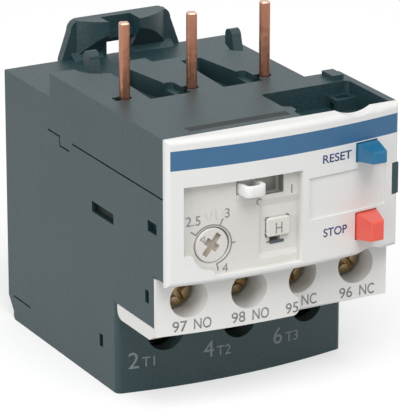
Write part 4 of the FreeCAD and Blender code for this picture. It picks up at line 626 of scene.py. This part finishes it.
def copy_piece(thing, name, shift):
    """Copies a piece with a mesh of its own, and shifts the copy."""
    twin = thing.copy()
    twin.data = thing.data.copy()
    twin.name = name
    scene.collection.objects.link(twin)
    only(twin)
    twin.location = shift
    bpy.ops.object.transform_apply(location=True, rotation=False, scale=False)
    return twin


for number in (2, 3):
    pin = copy_piece(first_pin, f"power_pin_detail_{number}",
                     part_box(f"power_pin_{number}")[0] - pin_low)
    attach(pin, "housing")
    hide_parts(f"power_pin_{number}")

# --- Terminals ---------------------------------------------------------------------------
# Brass terminal screws with a cross recess, captive square washers of zinc-plated steel,
# and stamped brass terminal plates behind them.


def worn_metal(name, colour, dark, roughness):
    """Machined or stamped metal: fine tool lines, dull patches and a few scratches."""
    material, surface, place = start_material(name)
    patches = place.noise(500, 4, 0.6)
    scratches = place.scaled(1, 1, 8).noise(1500, 2, 0.7)
    tone = (patches * 0.9 + scratches * 0.3 - 0.1).clamped()
    set_surface(surface, {
        "Base Color": tone.mix(dark, colour),
        "Metallic": 1.0,
        "Roughness": patches * 0.2 + roughness,
        "Normal": scratches.bump(0.00003, 0.4),
    })
    return material


brass = worn_metal("machined_brass", (0.56, 0.44, 0.27), (0.3, 0.21, 0.11), 0.14)
dress(brass, "aux_terminal_95", "aux_terminal_96", "aux_terminal_97", "aux_terminal_98",
      "output_terminal_1", "output_terminal_2", "output_terminal_3")


def terminal_screw(name, x, front, z, head_radius, head_height, shank_radius, end):
    """A terminal screw along Y: crowned head with a cross recess, and a grooved shank."""
    screw = disc(name, x, front + head_height * 0.25, z, head_radius, head_height * 0.75, 64)
    pick(screw, lambda middle, normal: normal.y < -0.9)
    for inset, rise in ((0.1, 0.13), (0.16, 0.08), (0.24, 0.04)):
        bpy.ops.mesh.inset(thickness=head_radius * inset)
        bpy.ops.transform.translate(value=(0, -head_height * rise, 0))
    bpy.ops.object.mode_set(mode="OBJECT")
    pick(screw, lambda middle, normal: normal.y > 0.9)
    bpy.ops.mesh.inset(thickness=head_radius - shank_radius)
    grooves = 6
    waist = 0.86
    step = (end - front - head_height) / (grooves * 2 + 1)
    for groove in range(grooves):
        bpy.ops.mesh.extrude_region_move(TRANSFORM_OT_translate={"value": (0, step, 0)})
        bpy.ops.mesh.extrude_region_move(TRANSFORM_OT_translate={"value": (0, step * 0.5, 0)})
        bpy.ops.transform.resize(value=(waist, 1, waist), center_override=(x, 0, z))
        bpy.ops.mesh.extrude_region_move(TRANSFORM_OT_translate={"value": (0, step * 0.5, 0)})
        bpy.ops.transform.resize(value=(1 / waist, 1, 1 / waist), center_override=(x, 0, z))
    bpy.ops.mesh.extrude_region_move(TRANSFORM_OT_translate={"value": (0, step, 0)})
    bpy.ops.object.mode_set(mode="OBJECT")
    sink_bar(screw, x, front, z, head_radius * 1.55, head_radius * 0.36, head_height * 0.6, 0)
    sink_bar(screw, x, front, z, head_radius * 1.55, head_radius * 0.36, head_height * 0.6, 90)
    sink_bar(screw, x, front, z, head_radius * 0.8, head_radius * 0.7, head_height * 0.5, 45)
    return screw


def set_screws(node, count, head_height, shank_radius, turns):
    """Models one screw of a row, and copies it to the others, each turned its own way."""
    low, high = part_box(node)
    head_radius = (high.z - low.z) / 2
    z = (high.z + low.z) / 2
    first = terminal_screw(node + "_1", low.x + head_radius, low.y, z, head_radius,
                           head_height, shank_radius, high.y)
    pitch = (high.x - low.x - head_radius * 2) / (count - 1)
    screws = [first]
    for number in range(1, count):
        screws.append(copy_piece(first, f"{node}_{number + 1}", (pitch * number, 0, 0)))
    for number, screw in enumerate(screws):
        only(screw)
        bpy.ops.object.mode_set(mode="EDIT")
        bpy.ops.mesh.select_all(action="SELECT")
        bpy.ops.transform.rotate(value=math.radians(turns[number]), orient_axis="Y",
                                 center_override=(low.x + head_radius + pitch * number, 0, z))
        bpy.ops.object.mode_set(mode="OBJECT")
        finish_piece(screw, brass, "housing")
        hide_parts(node)


set_screws("aux_terminal_screws", 4, 1.8 * MM, 1.5 * MM, (28, 62, 15, 40))
set_screws("power_terminal_screws", 3, 2.4 * MM, 2.0 * MM, (35, 10, 55))
zinc = worn_metal("zinc_plated_steel", (0.62, 0.62, 0.62), (0.42, 0.42, 0.43), 0.24)
dress(zinc, "aux_clamp_washers", "power_clamp_washers", "compensation_pivot",
      "trip_lever_pivot", "contact_rocker_pivot", "reset_button_spring", "stop_button_spring",
      "nc_contact_bridge", "no_contact_bridge")

# --- Heaters and trip mechanism ----------------------------------------------------------
# Inside each pole a bimetal strip stands in a woven glass sleeve with a heater ribbon
# wound on it. Pale moulded slides and levers carry its bending to the trip lever.

strip = worn_metal("rolled_bimetal", (0.55, 0.54, 0.5), (0.4, 0.38, 0.35), 0.3)
dress(strip, "bimetal_strip_1", "bimetal_strip_2", "bimetal_strip_3", "compensation_strip")
ribbon = worn_metal("heater_ribbon", (0.34, 0.31, 0.29), (0.2, 0.17, 0.16), 0.4)
dress(ribbon, "heater_winding_1", "heater_winding_2", "heater_winding_3")
material, surface, place = start_material("woven_glass")
weave = place.node("ShaderNodeTexWave", {"wave_type": "BANDS", "bands_direction": "DIAGONAL"},
                   {"Vector": place, "Scale": 420.0, "Distortion": 2.0, "Detail": 2.0}, output=1)
set_surface(surface, {
    "Base Color": weave.mix((0.6, 0.57, 0.48), (0.84, 0.82, 0.74)),
    "Roughness": weave * 0.2 + 0.7,
    "Normal": weave.bump(0.00008, 0.6),
})
dress(material, "heater_sleeve_1", "heater_sleeve_2", "heater_sleeve_3")
dress(white_plastic("inner_white", (0.72, 0.7, 0.65), (0.64, 0.62, 0.57))[0],
      "tripping_slide", "differential_slide", "differential_lever", "trip_lever",
      "compensation_lever", "contact_rocker")

# --- Printed marks on the cover ----------------------------------------------------------
# Pad-printed ink, a few hundredths of a millimetre thick: the names of the two buttons in
# blue, and in grey the dial's numbers, its ring and ticks and the window's two signs.

INK = 0.03 * MM


def ink(name, colour):
    """Matt printing ink, a little uneven where the pad left less of it. It also colours the dark
    sheets of painted shade in the selector's slot.
    """
    material, surface, place = start_material(name)
    pad = place.noise(1800, 2, 0.6)
    set_surface(surface, {
        "Base Color": pad.mix([channel * 0.85 for channel in colour], colour),
        "Roughness": pad * 0.2 + 0.45,
        "Specular IOR Level": 0.3,
    })
    return material


def lay_on(mark, target, material, body):
    """Wraps flat ink that stands in front of a face onto it, and gives it its thickness."""
    only(mark)
    bpy.ops.object.transform_apply(location=True, rotation=True, scale=True)
    wrap = mark.modifiers.new("wrap", "SHRINKWRAP")
    wrap.target = target
    wrap.wrap_method = "PROJECT"
    wrap.use_project_x = False
    wrap.use_project_y = True
    wrap.use_project_z = False
    wrap.use_positive_direction = True
    wrap.offset = INK / 2
    bpy.ops.object.modifier_apply(modifier=wrap.name)
    skin = mark.modifiers.new("skin", "SOLIDIFY")
    skin.thickness = INK
    skin.offset = 0
    bpy.ops.object.modifier_apply(modifier=skin.name)
    mark.data.materials.clear()
    mark.data.materials.append(material)
    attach(mark, body)


def bar(x, z, front, length, width, turn):
    """A flat bar of ink in front of a face, its middle at x and z, turned from level."""
    bpy.ops.object.select_all(action="DESELECT")
    bpy.ops.mesh.primitive_plane_add(size=1, location=(x, front, z),
                                     rotation=(math.radians(90), -math.radians(turn), 0))
    flat = bpy.context.object
    flat.scale = (length, width, 1)
    bpy.ops.object.transform_apply(location=True, rotation=True, scale=True)
    return flat


def write(name, words, x, z, front, height, width=1.0, bold=0.0):
    """Flat words that stand in front of a face, their middle at x and z."""
    bpy.ops.object.select_all(action="DESELECT")
    bpy.ops.object.text_add(location=(x, front, z),
                            rotation=(math.radians(90), 0, 0))
    text = bpy.context.object
    text.data.body = words
    capital_share = 0.72
    text.data.size = height / capital_share
    text.data.offset = text.data.size * bold
    text.data.align_x = "CENTER"
    text.data.align_y = "CENTER"
    text.scale = (width, 1, 1)
    text.name = name
    bpy.ops.object.convert(target="MESH")
    return bpy.context.object


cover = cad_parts["front_cover"]
blue_ink = ink("blue_ink", (0.035, 0.06, 0.19))
grey_ink = ink("grey_ink", (0.26, 0.26, 0.27))
ahead = cover_low.y - 2 * MM

word = write("word_reset", "RESET", cover_left + 31.7 * MM, 44.2 * MM, ahead, 1.5 * MM,
             1.08, 0.011)
lay_on(word, cover, blue_ink, "housing")
word = write("word_stop", "STOP", cover_left + 31.5 * MM, 31.0 * MM, ahead, 1.5 * MM,
             0.98, 0.011)
lay_on(word, cover, blue_ink, "housing")
for name, words, x, z, target in (("dial_2.5", "2.5", 5.4, 36.4, cover),
                                  ("dial_3", "3", 11.5, 37.1, cover),
                                  ("dial_4", "4", 11.1, 27.35, dial_ring),
                                  ("window_off", "o", 17.4, 38.45, cover)):
    mark = write(name, words, cover_left + x * MM, z * MM, ahead, 1.75 * MM, 0.95)
    lay_on(mark, target, grey_ink, "housing")

line_width = 0.24 * MM
mark = bar(cover_left + 23.6 * MM, 39.65 * MM, ahead, 1.5 * MM, line_width, 90)
mark.name = "window_on"
lay_on(mark, cover, grey_ink, "housing")

# The dial's scale: a ring open at its lower left, with four ticks.

scale_ring = open_ring("dial_scale", (dial_x, ahead, dial_z), 3.65 * MM, (line_width,))
scale_start = 144
scale_end = 284
for face in scale_ring.data.polygons:
    angle = math.degrees(math.atan2(face.center.z - dial_z, face.center.x - dial_x)) % 360
    face.select = scale_start < angle < scale_end
bpy.ops.object.mode_set(mode="EDIT")
bpy.ops.mesh.delete(type="FACE")
bpy.ops.object.mode_set(mode="OBJECT")
tick_start = 3.5
ticks = []
for angle, tick_end in ((144, 4.65), (66, 4.85), (-1, 4.3), (-76, 4.85)):
    reach = (tick_start + tick_end) / 2 * MM
    ticks.append(bar(dial_x + reach * math.cos(math.radians(angle)),
                     dial_z + reach * math.sin(math.radians(angle)), ahead,
                     (tick_end - tick_start) * MM, line_width, angle))
only(scale_ring)
for tick in ticks:
    tick.select_set(True)
bpy.ops.object.join()
lay_on(scale_ring, dial_ring, grey_ink, "housing")

# The dial's own pointer: a small open triangle beside the recess.

pointer = open_ring("dial_pointer", (dial_x - 1.72 * MM, ahead, dial_z + 1.22 * MM),
                    0.66 * MM, (0.15 * MM,), 3, 36)
lay_on(pointer, dial, grey_ink, "dial")

# The letter on the selector, and painted shade in the slot that it slides in: thin dark sheets
# at the slot's side and at its lower end.

letter = write("selector_letter", "H", plate_middle[0], plate_middle[2] - 0.32 * MM, ahead,
               2.0 * MM, 0.8)
lay_on(letter, plate, grey_ink, "selector")
painted_slot_shade = ink("slot_shade", (0.09, 0.1, 0.12))
for number, (left, right, low, high) in enumerate(((18.5, 19.5, 30.85, 34.3),
                                                   (18.5, 22.4, 34.3, 35.3))):
    x = cover_left + (left + right) / 2 * MM
    liner = block(f"slot_liner_{number + 1}", (x, panel_depth_at(x) + 0.36 * MM,
                                               (low + high) / 2 * MM),
                  ((right - left) * MM, 0.05 * MM, (high - low) * MM))
    finish_piece(liner, cover_white, "housing")
for name, x, z, width, height in (("slot_side", 18.86, 33.35, 0.24, 1.7),
                                  ("slot_end", 20.95, 30.59, 2.7, 0.58)):
    shade_sheet = block(name, (cover_left + x * MM,
                         panel_depth_at(cover_left + x * MM) + 0.31 * MM, z * MM),
                  (width * MM, 0.04 * MM, height * MM))
    finish_piece(shade_sheet, painted_slot_shade, "housing")

# --- Numbers on the terminals ------------------------------------------------------------
# Grey ink on the white terminal block, and pale ink low on the dark housing under the
# power terminals.

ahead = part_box("auxiliary_terminal_block")[0].y - 4 * MM
for name, words, x, z, width in (
        ("mark_97", "97", 4.1, 17.0, 1.0), ("mark_97_no", "NO", 8.2, 17.1, 0.78),
        ("mark_98", "98", 14.8, 17.1, 1.0), ("mark_98_no", "NO", 19.0, 17.1, 0.78),
        ("mark_95", "95", 25.2, 17.0, 1.0), ("mark_95_nc", "NC", 29.9, 16.9, 0.78),
        ("mark_96", "96", 37.1, 16.9, 1.0), ("mark_96_nc", "NC", 41.2, 16.9, 0.78)):
    mark = write(name, words, cover_left + x * MM, z * MM, ahead, 1.95 * MM, width,
                 0.006)
    lay_on(mark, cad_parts["auxiliary_terminal_block"], grey_ink, "housing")

pale_ink = ink("pale_ink", (0.26, 0.29, 0.3))
for name, words, x, z, height in (
        ("mark_2", "2", 3.0, 5.7, 3.1), ("mark_t1", "T1", 5.9, 5.3, 1.9),
        ("mark_4", "4", 17.0, 5.8, 3.1), ("mark_t2", "T2", 19.9, 5.2, 1.9),
        ("mark_6", "6", 30.9, 5.6, 3.1), ("mark_t3", "T3", 34.0, 5.0, 1.9)):
    mark = write(name, words, cover_left + x * MM, z * MM, ahead, height * MM)
    lay_on(mark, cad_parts["front_housing"], pale_ink, "housing")
